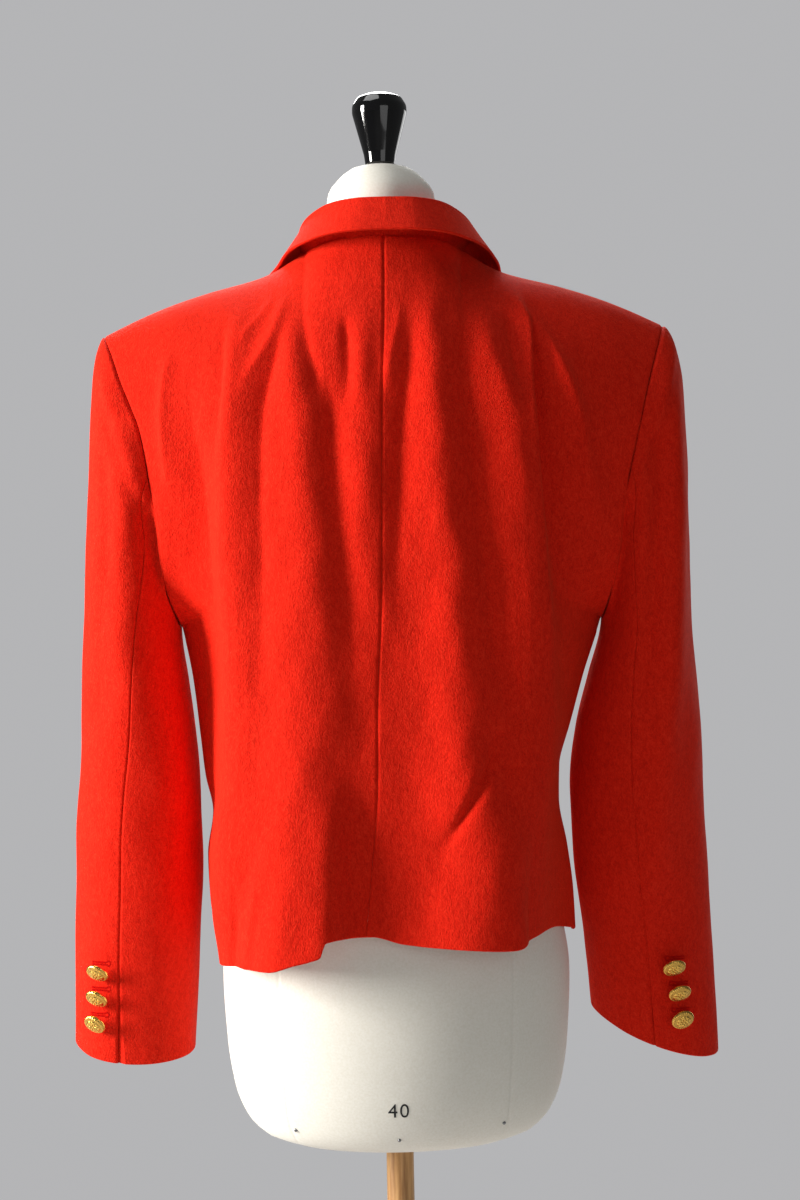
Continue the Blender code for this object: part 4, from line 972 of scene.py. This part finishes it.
def smooth_through(points, t):
    """A smooth line through the points, read at t from 0 to 1."""
    last = len(points) - 1
    place = min(max(t, 0.0), 1.0) * last
    i = min(int(place), last - 1)
    u = place - i
    p1 = points[i]
    p2 = points[i + 1]
    p0 = points[i - 1] if i > 0 else p1 * 2 - p2
    p3 = points[i + 2] if i + 2 <= last else p2 * 2 - p1
    a = p2 - p0
    b = p0 * 2 - p1 * 5 + p2 * 4 - p3
    c = p1 * 3 - p0 - p2 * 3 + p3
    return p1 + (a * u + b * u * u + c * u * u * u) * 0.5


def collar_row(stations, round_neck, overs):
    """The collar's points at one place round the neck, from the stand (0) over to the fall (1)."""
    t = abs(round_neck)
    side = 1 if round_neck >= 0 else -1
    neck, roll, middle, edge = (smooth_through([row[n] for row in stations], t) for n in range(4))
    into_stand = neck - roll
    into_fall = middle - roll
    stand = roll + into_stand.normalized() * min(COLLAR_FOLD, into_stand.length * 0.45)
    fall = roll + into_fall.normalized() * min(COLLAR_FOLD, into_fall.length * 0.45)
    fade = 1 - float(eased((t - COLLAR_SHIFT_FROM) / (COLLAR_SHIFT_TO - COLLAR_SHIFT_FROM)))
    spots = []
    for over in overs:
        spot = smooth_through([neck, stand, roll, fall, middle, edge], over)
        shift = COLLAR_SHIFT * fade * float(eased(over * 1.6))
        spots.append(Vector((side * spot.x + shift, spot.y, spot.z)))
    return spots


def fade_out_of(rim):
    """From 1 at the back of the neck to 0 where the collar reaches the fronts."""
    return eased((rim[:, 1:2] - 0.004) / 0.012)


def make_collar(fronts, finish):
    stations = {side: collar_stations(side, fronts) for side in (+1, -1)}
    overs = crowded(44, 0.03)
    columns = []
    for round_neck in spaced(-1.0, 1.0, 210):
        side = 1 if round_neck >= 0 else -1
        spots = collar_row(stations[side], round_neck, overs)
        if abs(round_neck) > COLLAR_SHIFT_TO:
            for n, over in enumerate(overs):
                if over > COLLAR_FREE:
                    spots[n] = rested(spots[n], fronts[side], LAYER)
        columns.append(spots)
    grid = np.array(columns).transpose(1, 0, 2)
    foot = grid[0] * np.array([1.0, 1.0, 0.0]) * -STAND_LEAN - np.array([0.0, 0.0, STAND_FOOT])
    foot = np.array([grid[0] + foot * share * fade_out_of(grid[0]) for share in (1.0, 0.66, 0.33)])
    grid = np.concatenate([foot, grid])
    edges = ("first", "last", "bottom")
    cloth("collar", grid, 1, finish, edges=edges, hem=False)


def make_sleeves(finish):
    trees = {}
    for side in (+1, -1):
        name = "sleeve_" + side_name(side)
        downs = crowded(150, 0.006)[:, None]
        parts = (("_top", FRONT_SEAM, 90.0, 90), ("_under", 90.0, 360.0 + FRONT_SEAM, 64))
        for part, start, end, count in parts:
            share = crowded(count, 0.018)[None, :]
            turns = start + (end - start) * share
            grid = sleeve_grid(side, turns + 0 * downs, downs + 0 * turns)
            lap = None
            if part == "_under":
                open_vent(side, grid, share)
                lap = vent_lap(side, downs)
            if part == "_top":
                trees[side] = grid_tree(grid, -side)
            seams = ("first", "last", "top")
            lean = (-side, 0.0, 0.0)
            rim_turns = np.radians(turns[:1])
            if lap is not None:
                rim_turns = np.concatenate([rim_turns[:, :1]] * len(lap) + [rim_turns], axis=1)
            up = np.maximum(np.cos(rim_turns), 0.0)
            outer = np.stack([0 * up, np.sin(rim_turns), up], axis=-1)
            cloth(name + part, grid, -side, finish, seams, ("top",), lean, outer, lap=lap)
    return trees


def vent_lap(side, downs):
    """The under sleeve's allowance, which lies under the top sleeve and fills the open vent."""
    strips = []
    for turn in LAP_TURNS[::-1]:
        plain = np.full(downs.shape, 90.0)
        height = sleeve_grid(side, plain, downs)[..., 2]
        above = (height - cuff_height(side, 90.0)) / VENT
        share = 0.04 + 0.96 * eased((1.0 - above) / 0.15)
        turns = 90.0 - turn * share + np.array([[0.0, -0.2]])
        pair = sleeve_grid(side, turns, downs + 0 * turns)
        normals = grid_normals(pair, side)
        strips.append(pair[:, :1] - normals[:, :1] * LAP_DEPTH)
    return strips


def open_vent(side, grid, share):
    """Moves the under sleeve's edge away from the top sleeve's below the vent."""
    round_it = unit(np.gradient(grid, axis=1))
    above = (grid[..., 2] - cuff_height(side, 90.0)) / VENT
    near = np.clip(1 - share / 0.15, 0.0, 1.0)
    opened = VENT_OPEN[side] * np.clip(1 - above, 0.0, 1.0) ** 2 * near
    grid += round_it * opened[..., None]


def rounded(value, roundness):
    """A cosine or sine bent so that a ring is an ellipse at 2 and nearer a lens below it."""
    return np.sign(value) * np.abs(value) ** (2 / roundness)


def form_grid(heights, angles):
    half_width = along(FORM, heights, "half_width")
    back = along(FORM, heights, "back")
    front = along(FORM, heights, "front")
    roundness = along(FORM, heights, "roundness")
    depth = np.where(np.sin(angles) > 0, back, front)
    x = half_width * rounded(np.cos(angles), roundness)
    y = depth * rounded(np.sin(angles), roundness)
    return stacked(x, y, heights)


def form_seam(heights):
    """Angle of the form's princess seam round it, back and front alike, at each height."""
    place = along(FORM_SEAM, heights, "value")
    half_width = along(FORM, heights, "half_width")
    roundness = along(FORM, heights, "roundness")
    share = np.clip(place / np.maximum(half_width, place + 1e-6), 0.0, 0.97)
    return np.arccos(share ** (roundness / 2))


def make_form(finish):
    """The form's cover: four panels that meet in fine pressed seams."""
    ring_heights = sorted((row.height for row in FORM), reverse=True)
    heights = []
    for high, low in zip(ring_heights, ring_heights[1:]):
        count = max(2, round((high - low) / 0.006))
        heights.extend(np.linspace(high, low, count, endpoint=False))
    heights.append(ring_heights[-1])
    heights = np.array(heights)[:, None]
    seam = form_seam(heights)
    corners = (-seam, seam, math.pi - seam, math.pi + seam, 2 * math.pi - seam)
    shares = crowded(30, 0.045)[None, :]
    angles = [a + (b - a) * shares[:, :-1] for a, b in zip(corners, corners[1:])]
    angles = np.concatenate([*angles, corners[-1] + 0 * shares[:, -1:]], axis=1)
    grid = form_grid(heights, angles)
    groove = np.zeros(angles.shape)
    half_width = along(FORM, heights, "half_width")
    for corner in corners:
        off = np.abs(angles - corner) * half_width
        groove += FORM_SEAM_DEPTH * np.exp(-((off / FORM_SEAM_WIDTH) ** 2))
    groove *= eased((FORM_SEAM_TOP - heights) / 0.05) * eased((heights - 0.632) / 0.006)
    inward = np.stack([np.cos(angles), np.sin(angles), 0 * angles], axis=-1)
    grid = grid - inward * groove[..., None]
    top = np.broadcast_to(np.array([0.0, 0.0, FORM_TOP]), grid[:1].shape)
    bottom = np.broadcast_to(np.array([0.0, 0.0, FORM_BOTTOM]), grid[:1].shape)
    grid = np.concatenate([top, grid, bottom])
    mesh = grid_mesh("dress_form", grid, -1)
    welded(add_piece("form_linen", mesh, finish, ["dress_form"]), 0.00001)


def stitch_tree(thread):
    """Geometry Nodes: thread stitches laid side by side along a buttonhole's edge."""
    tree = bpy.data.node_groups.new("buttonhole stitches", "GeometryNodeTree")
    sockets = tree.interface
    sockets.new_socket("Rails", in_out="INPUT", socket_type="NodeSocketGeometry")
    for name in ("Spacing", "Length", "Thickness"):
        sockets.new_socket(name, in_out="INPUT", socket_type="NodeSocketFloat")
    sockets.new_socket("Seed", in_out="INPUT", socket_type="NodeSocketInt")
    sockets.new_socket("Stitches", in_out="OUTPUT", socket_type="NodeSocketGeometry")
    given = add_node(tree, "NodeGroupInput").outputs
    rail = add_node(tree, "GeometryNodeMeshToCurve", {"Mesh": given["Rails"]})
    spread = add_node(tree, "GeometryNodeResampleCurve",
                      {"Curve": rail.outputs["Curve"], "Length": given["Spacing"]}, mode="LENGTH")
    across = add_node(tree, "GeometryNodeInputNamedAttribute", data_type="FLOAT_VECTOR",
                      Name="across")
    turn = add_node(tree, "FunctionNodeAlignRotationToVector",
                    {"Vector": across.outputs["Attribute"]}, axis="Z")
    wobble = add_node(tree, "FunctionNodeRandomValue", {"Seed": given["Seed"]}, data_type="FLOAT")
    wobble.inputs[2].default_value, wobble.inputs[3].default_value = STITCH_WOBBLE
    length = add_node(tree, "ShaderNodeMath", {0: wobble.outputs[1], 1: given["Length"]},
                      operation="MULTIPLY")
    size = add_node(tree, "ShaderNodeCombineXYZ",
                    {"X": given["Thickness"], "Y": given["Thickness"], "Z": length.outputs[0]})
    stitch = add_node(tree, "GeometryNodeMeshIcoSphere", Subdivisions=2, Radius=0.5)
    laid = add_node(tree, "GeometryNodeInstanceOnPoints", {
        "Points": spread.outputs["Curve"], "Instance": stitch.outputs["Mesh"],
        "Rotation": turn.outputs["Rotation"], "Scale": size.outputs["Vector"]})
    real = add_node(tree, "GeometryNodeRealizeInstances", {"Geometry": laid.outputs["Instances"]})
    dyed = add_node(tree, "GeometryNodeSetMaterial", {"Geometry": real.outputs["Geometry"]},
                    Material=thread)
    add_node(tree, "NodeGroupOutput", {"Stitches": dyed.outputs["Geometry"]})
    return tree


def keyhole(length):
    """A keyhole's edge in its own plane: places and, at each, the way across the edge."""
    beside = STITCH_LENGTH * 0.55
    rail = [(u, beside, 0.0, 1.0) for u in np.linspace(-length, -EYE_NECK, 12)]
    for angle in np.radians(np.linspace(150.0, -150.0, 13)):
        c, r = math.cos(angle), math.sin(angle)
        rail.append((EYE_RADIUS * c, EYE_RADIUS * r, c, r))
    return rail + [(u, -beside, 0.0, -1.0) for u in np.linspace(-EYE_NECK, -length, 12)]


def make_buttonholes(sleeves, front, thread):
    """Keyhole buttonholes beside the buttons, worked in red thread."""

    def on_sleeve(side, button, u, v):
        height = button.height + HOLE_ABOVE + v
        axis = (sleeve_tube(side, 0.0, height) + sleeve_tube(side, 180.0, height)) / 2
        angle = math.radians(button.turn) + u / SLEEVE_RADIUS
        ray = Vector((side * math.cos(angle), math.sin(angle), 0.0))
        return sleeves[side].ray_cast(Vector(axis), ray)[:2]

    def on_front(button, u, v):
        start = Vector((u + HOLE_BESIDE, -1.0, button.height + v))
        return front.ray_cast(start, Vector((0.0, 1.0, 0.0)))[:2]

    places = [(lambda u, v, side=side, button=button: on_sleeve(side, button, u, v), SLEEVE_HOLE)
              for side in (+1, -1) for button in CUFF_BUTTONS[side]]
    places += [(lambda u, v, button=button: on_front(button, u, v), FRONT_HOLE)
               for button in FRONT_BUTTONS]
    points, edges, ways = [], [], []
    for place, length in places:
        first = len(points)
        for u, v, du, dv in keyhole(length):
            spot, facing = place(u, v)
            beyond = place(u + du * 0.001, v + dv * 0.001)[0]
            points.append(spot + facing * STITCH_LIFT)
            ways.append((beyond - spot).normalized())
        edges += [(n, n + 1) for n in range(first, len(points) - 1)]
    rails = bpy.data.meshes.new("buttonhole_rails")
    rails.from_pydata([tuple(point) for point in points], edges, [])
    rails.attributes.new("across", "FLOAT_VECTOR", "POINT")
    rails.attributes["across"].data.foreach_set("vector", np.array(ways).ravel())
    worked = placed("buttonhole_rails", rails)
    stitches = worked.modifiers.new("stitches", "NODES")
    tree = stitch_tree(thread)
    stitches.node_group = tree
    for socket in tree.interface.items_tree:
        if socket.name in STITCH_SIZES:
            stitches[socket.identifier] = STITCH_SIZES[socket.name]
    mesh = baked(worked)
    mesh.name = "buttonholes"
    worked.modifiers.remove(stitches)
    bpy.data.objects.remove(worked)
    mesh.materials.clear()
    mesh.shade_smooth()
    add_piece("buttonholes", mesh, thread, [])


def make_pins(finish):
    """Three pins that hold the cover at the foot of its seams, shown by their heads."""
    shell = bmesh.new()
    for pin in FORM_PINS:
        spot = form_grid(np.array([[pin.height]]), np.array([[math.radians(pin.turn)]]))[0, 0]
        bmesh.ops.create_uvsphere(shell, u_segments=20, v_segments=12, radius=PIN_RADIUS,
                                  matrix=Matrix.Translation(Vector(spot)))
    mesh = bpy.data.meshes.new("form_pins")
    shell.to_mesh(mesh)
    shell.free()
    mesh.shade_smooth()
    add_piece("form_pins", mesh, finish, [])


def make_number(finish):
    """A plain size number printed low on the form's back, laid on its curve."""
    words = bpy.data.curves.new("size_number", "FONT")
    words.body = FORM_NUMBER
    words.size = FORM_NUMBER_SIZE
    words.space_character = 1.15
    words.align_x = words.align_y = "CENTER"
    flat = placed("size_number_flat", words)
    printed = baked(flat)
    bpy.data.objects.remove(flat)
    shell = bmesh.new()
    shell.from_mesh(printed)
    bmesh.ops.remove_doubles(shell, verts=shell.verts, dist=0.000005)
    for vert in shell.verts:
        x, z = -vert.co.x, FORM_NUMBER_HEIGHT + vert.co.y
        half_width = float(along(FORM, z, "half_width"))
        y = float(along(FORM, z, "back")) * math.sqrt(1 - (x / half_width) ** 2)
        vert.co = (x, y + INK_LIFT, z)
    bmesh.ops.recalc_face_normals(shell, faces=shell.faces)
    if sum(face.normal.y * face.calc_area() for face in shell.faces) < 0:
        bmesh.ops.reverse_faces(shell, faces=shell.faces)
    shell.to_mesh(printed)
    shell.free()
    add_piece("size_number", printed, finish, [])


def softened(points, radius):
    """The profile with each inner corner cut to a small round."""
    kept = [np.array(points[0])]
    for before, corner, after in zip(points, points[1:], points[2:]):
        before, corner, after = (np.array(point) for point in (before, corner, after))
        into = before - corner
        out = after - corner
        reach = min(radius, 0.45 * np.linalg.norm(into), 0.45 * np.linalg.norm(out))
        start = corner + into / np.linalg.norm(into) * reach
        end = corner + out / np.linalg.norm(out) * reach
        for t in np.linspace(0.0, 1.0, 6):
            kept.append((1 - t) ** 2 * start + 2 * t * (1 - t) * corner + t * t * end)
    kept.append(np.array(points[-1]))
    return np.array(kept)


def turned_grid(profile, count):
    """Points of a shape turned round the upright axis, from its profile of radii and heights."""
    angle = np.linspace(0.0, 2 * math.pi, count + 1)[None, :]
    radius = profile[:, 0:1]
    return stacked(radius * np.cos(angle), radius * np.sin(angle), profile[:, 1:2])


def make_turned(name, points, radius, finish):
    mesh = grid_mesh(name, turned_grid(softened(points, radius), 96), -1)
    welded(add_piece(name + "_turned", mesh, finish, [name]), 0.000005)


def button_grid():
    """The outer face, a dome with a rosette, a bead ring and a roped rim, then the back."""
    angle = np.linspace(0.0, 2 * math.pi, 145)[None, :]
    inner = np.linspace(0.0, 0.0086, 28)
    radius = np.concatenate([inner, np.linspace(0.0087, BUTTON_RADIUS, 13)])[:, None]
    dome = 0.0050 - 0.0040 * (radius / BUTTON_RADIUS) ** 2.4
    relief = 0.0
    for ring in ROSETTE:
        inside = (radius - ring.start) / (ring.end - ring.start)
        swell = np.where((inside > 0) & (inside < 1), np.sin(math.pi * np.clip(inside, 0, 1)), 0.0)
        round_it = np.abs(np.cos(0.5 * ring.count * angle + ring.turn)) ** 0.7
        relief = relief + ring.rise * swell ** 0.6 * round_it
    rim = np.clip(1 - ((radius - ROPE_RADIUS) / 0.0012) ** 2, 0.0, 1.0) ** 0.5
    strand = 0.5 + 0.5 * np.cos(30 * angle + 900 * (radius - ROPE_RADIUS))
    rope = rim * (0.00060 + 0.00060 * strand ** 0.7)
    face = stacked(radius * np.cos(angle), radius * np.sin(angle), dome + relief + rope)
    return np.concatenate([face, turned_grid(softened(BUTTON_BACK, 0.0006), 144)])


def make_button(name, spot, facing, scale, gold, thread):
    """A gilt button on its thread shank, set at a spot with its dome towards `facing`."""
    turn = Vector(facing).to_track_quat("Z", "Y").to_matrix().to_4x4()
    shell = bmesh.new()
    shell.from_mesh(grid_mesh(name, button_grid() * scale, -1))
    bmesh.ops.remove_doubles(shell, verts=shell.verts, dist=0.000002)
    for face in shell.faces:
        face.smooth = True
    below = SHANK_LENGTH * scale
    middle = Matrix.Translation((0.0, 0.0, -SHANK_TOP * scale - below / 2))
    made = bmesh.ops.create_cone(shell, cap_ends=True, segments=20, radius1=0.0013,
                                 radius2=0.0016, depth=below, matrix=middle)
    for vert in made["verts"]:
        for face in vert.link_faces:
            face.material_index = 1
            face.smooth = len(face.verts) == 4
    bmesh.ops.transform(shell, matrix=Matrix.Translation(spot) @ turn, verts=shell.verts)
    mesh = bpy.data.meshes.new(name + "_gilt")
    shell.to_mesh(mesh)
    shell.free()
    piece = add_piece(name + "_gilt", mesh, gold, [name])
    piece.data.materials.append(thread)


def make_buttons(cad, gold, thread):
    for side in (+1, -1):
        for n, button in enumerate(CUFF_BUTTONS[side], 1):
            turn = np.array([[button.turn]])
            tube = Vector(sleeve_tube(side, turn, np.array([[button.height]]))[0, 0])
            level = math.radians(button.turn)
            level = Vector((side * math.cos(level), math.sin(level), 0.0))
            droop = math.radians(button.droop)
            facing = level * math.cos(droop) - Vector((0.0, 0.0, 1.0)) * math.sin(droop)
            spot = tube + level * CUFF_BUTTON_LIFT
            make_button(f"cuff_button_{side_name(side)}_{n}", spot, facing, 1.0, gold, thread)
    for n in (1, 2):
        name = f"front_button_{n}"
        corners = np.array([tuple(v.co) for v in cad[name].data.vertices])
        low, high = corners.min(axis=0), corners.max(axis=0)
        middle = (low + high) / 2
        spot = Vector((middle[0], low[1] + 0.0050 * FRONT_BUTTON_SCALE, middle[2]))
        make_button(name, spot, (0.0, -1.0, 0.0), FRONT_BUTTON_SCALE, gold, thread)


def srgb(name):
    """The named colour, turned from sRGB to linear."""
    channels = [int(COLOURS[name][i : i + 2], 16) / 255 for i in (0, 2, 4)]
    linear = [c / 12.92 if c <= 0.04045 else ((c + 0.055) / 1.055) ** 2.4 for c in channels]
    return (*linear, 1.0)


def new_material(name, **sockets):
    """A material, its tree and its shader's inputs, with values on the shader's own sockets."""
    made = bpy.data.materials.new(name)
    made.use_nodes = True
    shader = made.node_tree.nodes["Principled BSDF"].inputs
    for socket, value in sockets.items():
        shader[socket.replace("_", " ")].default_value = value
    return made, made.node_tree, shader


def add_node(tree, kind, links=None, stops=(), **settings):
    """A node with its settings and sockets set by name, its inputs linked, its stops coloured."""
    node = tree.nodes.new(kind)
    for name, value in settings.items():
        if hasattr(node, name):
            setattr(node, name, value)
        else:
            node.inputs[name.replace("_", " ")].default_value = value
    for inlet, outlet in (links or {}).items():
        tree.links.new(outlet, node.inputs[inlet])
    if stops:
        elements = node.color_ramp.elements
        elements[0].position, elements[0].color = stops[0]
        elements[1].position, elements[1].color = stops[-1]
        for position, colour in stops[1:-1]:
            elements.new(position).color = colour
    return node


def napped_wool():
    """Brushed red melton: a deep even red whose short slanted nap makes a fine pebbled grain.

    The nap is drawn about 1.4 mm long, coarser than the real fibres, so that it shows.
    """
    made, tree, shader = new_material(
        "brushed red melton wool", Roughness=0.80, Specular_IOR_Level=0.22,
        Specular_Tint=srgb("wool_sheen"), Sheen_Weight=0.18, Sheen_Roughness=0.45,
        Sheen_Tint=srgb("wool_sheen"))
    place = add_node(tree, "ShaderNodeTexCoord").outputs["Object"]
    slant = add_node(tree, "ShaderNodeMapping", {"Vector": place},
                     Rotation=(0.0, math.radians(NAP_SLANT), 0.0), Scale=(1.0, 1.0, NAP_STRETCH))
    nap, pile, mottle = (
        add_node(tree, "ShaderNodeTexNoise", {"Vector": slant.outputs["Vector"]}, Scale=scale,
                 Detail=detail, Roughness=roughness).outputs["Fac"]
        for scale, detail, roughness in NAP_NOISES)
    grain = add_node(tree, "ShaderNodeMix", {2: nap, 3: pile}, data_type="FLOAT", Factor=0.35)
    grain = grain.outputs[0]
    stops = ((0.36, srgb("wool_dark")), (0.50, srgb("wool")), (0.64, srgb("wool_light")))
    colour = add_node(tree, "ShaderNodeValToRGB", {"Fac": grain}, stops)
    stops = ((0.3, (0.97, 0.97, 0.97, 1.0)), (0.7, (1.0, 1.0, 1.0, 1.0)))
    patch = add_node(tree, "ShaderNodeValToRGB", {"Fac": mottle}, stops)
    tint = add_node(tree, "ShaderNodeMix",
                    {"A": colour.outputs["Color"], "B": patch.outputs["Color"]},
                    data_type="RGBA", blend_type="MULTIPLY", Factor=1.0)
    bump = add_node(tree, "ShaderNodeBump", {"Height": grain}, Strength=1.0, Distance=0.0014)
    tree.links.new(tint.outputs["Result"], shader["Base Color"])
    tree.links.new(bump.outputs["Normal"], shader["Normal"])
    return made


def woven_linen():
    """Cream linen on the form: a tight plain weave over a faintly uneven ground."""
    made, tree, shader = new_material("cream woven linen", Roughness=0.78, Sheen_Weight=0.15)
    place = {"Vector": add_node(tree, "ShaderNodeTexCoord").outputs["Object"]}
    warp, weft = (
        add_node(tree, "ShaderNodeTexWave", place, wave_type="BANDS", bands_direction=way,
                 Scale=420.0, Distortion=0.6).outputs["Fac"] for way in "XZ")
    ground = add_node(tree, "ShaderNodeTexNoise", place, Scale=500.0, Detail=3.0)
    weave = add_node(tree, "ShaderNodeMath", {0: warp, 1: weft}, operation="ADD")
    colour = add_node(tree, "ShaderNodeValToRGB", {"Fac": ground.outputs["Fac"]},
                      ((0.3, srgb("linen_dark")), (0.7, srgb("linen"))))
    bump = add_node(tree, "ShaderNodeBump", {"Height": weave.outputs[0]}, Strength=0.18,
                    Distance=0.0003)
    tree.links.new(colour.outputs["Color"], shader["Base Color"])
    tree.links.new(bump.outputs["Normal"], shader["Normal"])
    return made


def gilt_brass():
    """Gold-plated brass, with painted shade: darker where the relief is low, as if shade fell in
    its hollows.
    """
    made, tree, shader = new_material("gilt brass", Metallic=1.0)
    place = add_node(tree, "ShaderNodeTexCoord").outputs["Object"]
    worn = add_node(tree, "ShaderNodeTexNoise", {"Vector": place}, Scale=900.0, Detail=3.0)
    relief = add_node(tree, "ShaderNodeNewGeometry").outputs["Pointiness"]
    # painted shade: the ramp turns the gold nearly black in the relief's hollows
    colour = add_node(tree, "ShaderNodeValToRGB", {"Fac": relief},
                      ((0.44, srgb("gold_hollow_shade")), (0.51, srgb("gold"))))
    rough = add_node(tree, "ShaderNodeMapRange", {"Value": worn.outputs["Fac"]}, To_Min=0.16,
                     To_Max=0.34)
    tree.links.new(colour.outputs["Color"], shader["Base Color"])
    tree.links.new(rough.outputs["Result"], shader["Roughness"])
    return made


def plain_steel():
    """Bright pin steel."""
    return new_material("pin steel", Base_Color=srgb("steel"), Metallic=1.0, Roughness=0.3)[0]


def printing_ink():
    """Matt black stencil ink."""
    return new_material("black stencil ink", Base_Color=srgb("ink"), Roughness=0.8)[0]


def red_thread():
    """Twisted red cotton thread, as on the buttons' shanks and the buttonholes."""
    return new_material("red cotton thread", Base_Color=srgb("thread"), Roughness=0.9,
                        Specular_IOR_Level=0.1)[0]


def black_lacquer():
    """Gloss black lacquer over turned wood, with the faint waves of a brushed coat."""
    made, tree, shader = new_material("black lacquer", Base_Color=srgb("lacquer"),
                                      Roughness=0.07, Coat_Weight=0.6)
    place = add_node(tree, "ShaderNodeTexCoord").outputs["Object"]
    waves = add_node(tree, "ShaderNodeTexNoise", {"Vector": place}, Scale=26.0, Detail=1.0)
    bump = add_node(tree, "ShaderNodeBump", {"Height": waves.outputs["Fac"]}, Strength=0.06,
                    Distance=0.0008)
    tree.links.new(bump.outputs["Normal"], shader["Normal"])
    return made


def beech_wood():
    """Lacquered beech, with its grain along the pole."""
    made, tree, shader = new_material("lacquered beech", Roughness=0.38)
    place = add_node(tree, "ShaderNodeTexCoord").outputs["Object"]
    stretch = add_node(tree, "ShaderNodeMapping", {"Vector": place}, Scale=(1.0, 1.0, 0.06))
    grain = add_node(tree, "ShaderNodeTexNoise", {"Vector": stretch.outputs["Vector"]},
                     Scale=220.0, Detail=6.0, Roughness=0.6).outputs["Fac"]
    colour = add_node(tree, "ShaderNodeValToRGB", {"Fac": grain},
                      ((0.35, srgb("beech_dark")), (0.62, srgb("beech"))))
    bump = add_node(tree, "ShaderNodeBump", {"Height": grain}, Strength=0.12, Distance=0.0004)
    tree.links.new(colour.outputs["Color"], shader["Base Color"])
    tree.links.new(bump.outputs["Normal"], shader["Normal"])
    return made


def add_camera():
    data = bpy.data.cameras.new("camera")
    data.lens = CAMERA_LENS
    data.sensor_fit = "VERTICAL"
    data.sensor_height = SENSOR_HEIGHT
    camera = placed("camera", data)
    aim = Vector((0, -1, 0)).to_track_quat("-Z", "Y")
    roll = Quaternion((0, 0, 1), math.radians(CAMERA_ROLL))
    camera.location = CAMERA_PLACE
    camera.rotation_euler = (aim @ roll).to_euler()
    bpy.context.scene.camera = camera


def add_lights():
    for row in LIGHTS:
        data = bpy.data.lights.new(row.name, "AREA")
        data.shape = "RECTANGLE"
        data.size, data.size_y = row.size
        data.energy = row.power
        data.color = row.colour
        light = placed(row.name, data)
        light.location = row.place
        aim = Vector(row.target) - Vector(row.place)
        light.rotation_euler = aim.to_track_quat("-Z", "Y").to_euler()
    world = bpy.data.worlds.new("pale room")
    world.use_nodes = True
    tree = world.node_tree
    sky = tree.nodes["Background"]
    sky.inputs["Color"].default_value = SKY_COLOUR
    sky.inputs["Strength"].default_value = SKY_STRENGTH
    seen = add_node(tree, "ShaderNodeBackground", Color=BACKDROP, Strength=1.0)
    path = add_node(tree, "ShaderNodeLightPath")
    mix = add_node(tree, "ShaderNodeMixShader", {
        "Fac": path.outputs["Is Camera Ray"], 1: sky.outputs["Background"],
        2: seen.outputs["Background"]})
    tree.links.new(mix.outputs["Shader"], tree.nodes["World Output"].inputs["Surface"])
    bpy.context.scene.world = world


def add_floor():
    mesh = bpy.data.meshes.new("floor")
    corners = [(-6, FLOOR_BACK, 0), (6, FLOOR_BACK, 0), (6, 6, 0), (-6, 6, 0)]
    mesh.from_pydata(corners, [], [(0, 1, 2, 3)])
    floor = placed("floor", mesh)
    finish = new_material("pale floor", Base_Color=srgb("floor"), Roughness=0.7)[0]
    floor.data.materials.append(finish)


def main():
    bpy.context.scene.view_settings.view_transform = "Standard"
    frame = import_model()
    add_camera()
    add_lights()
    add_floor()
    wool = napped_wool()
    make_panels(back_grid, "back", +1, 120, wool)
    fronts = make_panels(front_grid, "front", -1, 70, wool)
    make_lapels(fronts, wool)
    make_collar(fronts, wool)
    sleeves = make_sleeves(wool)
    make_form(woven_linen())
    make_pins(plain_steel())
    make_number(printing_ink())
    beech = beech_wood()
    make_turned("finial", FINIAL, 0.0022, black_lacquer())
    make_turned("pole", POLE, 0.0008, beech)
    make_turned("base", BASE, 0.0040, beech)
    thread = red_thread()
    make_buttons(frame["nodes"], gilt_brass(), thread)
    make_buttonholes(sleeves, fronts[-1], thread)
    bpy.context.view_layer.update()


main()
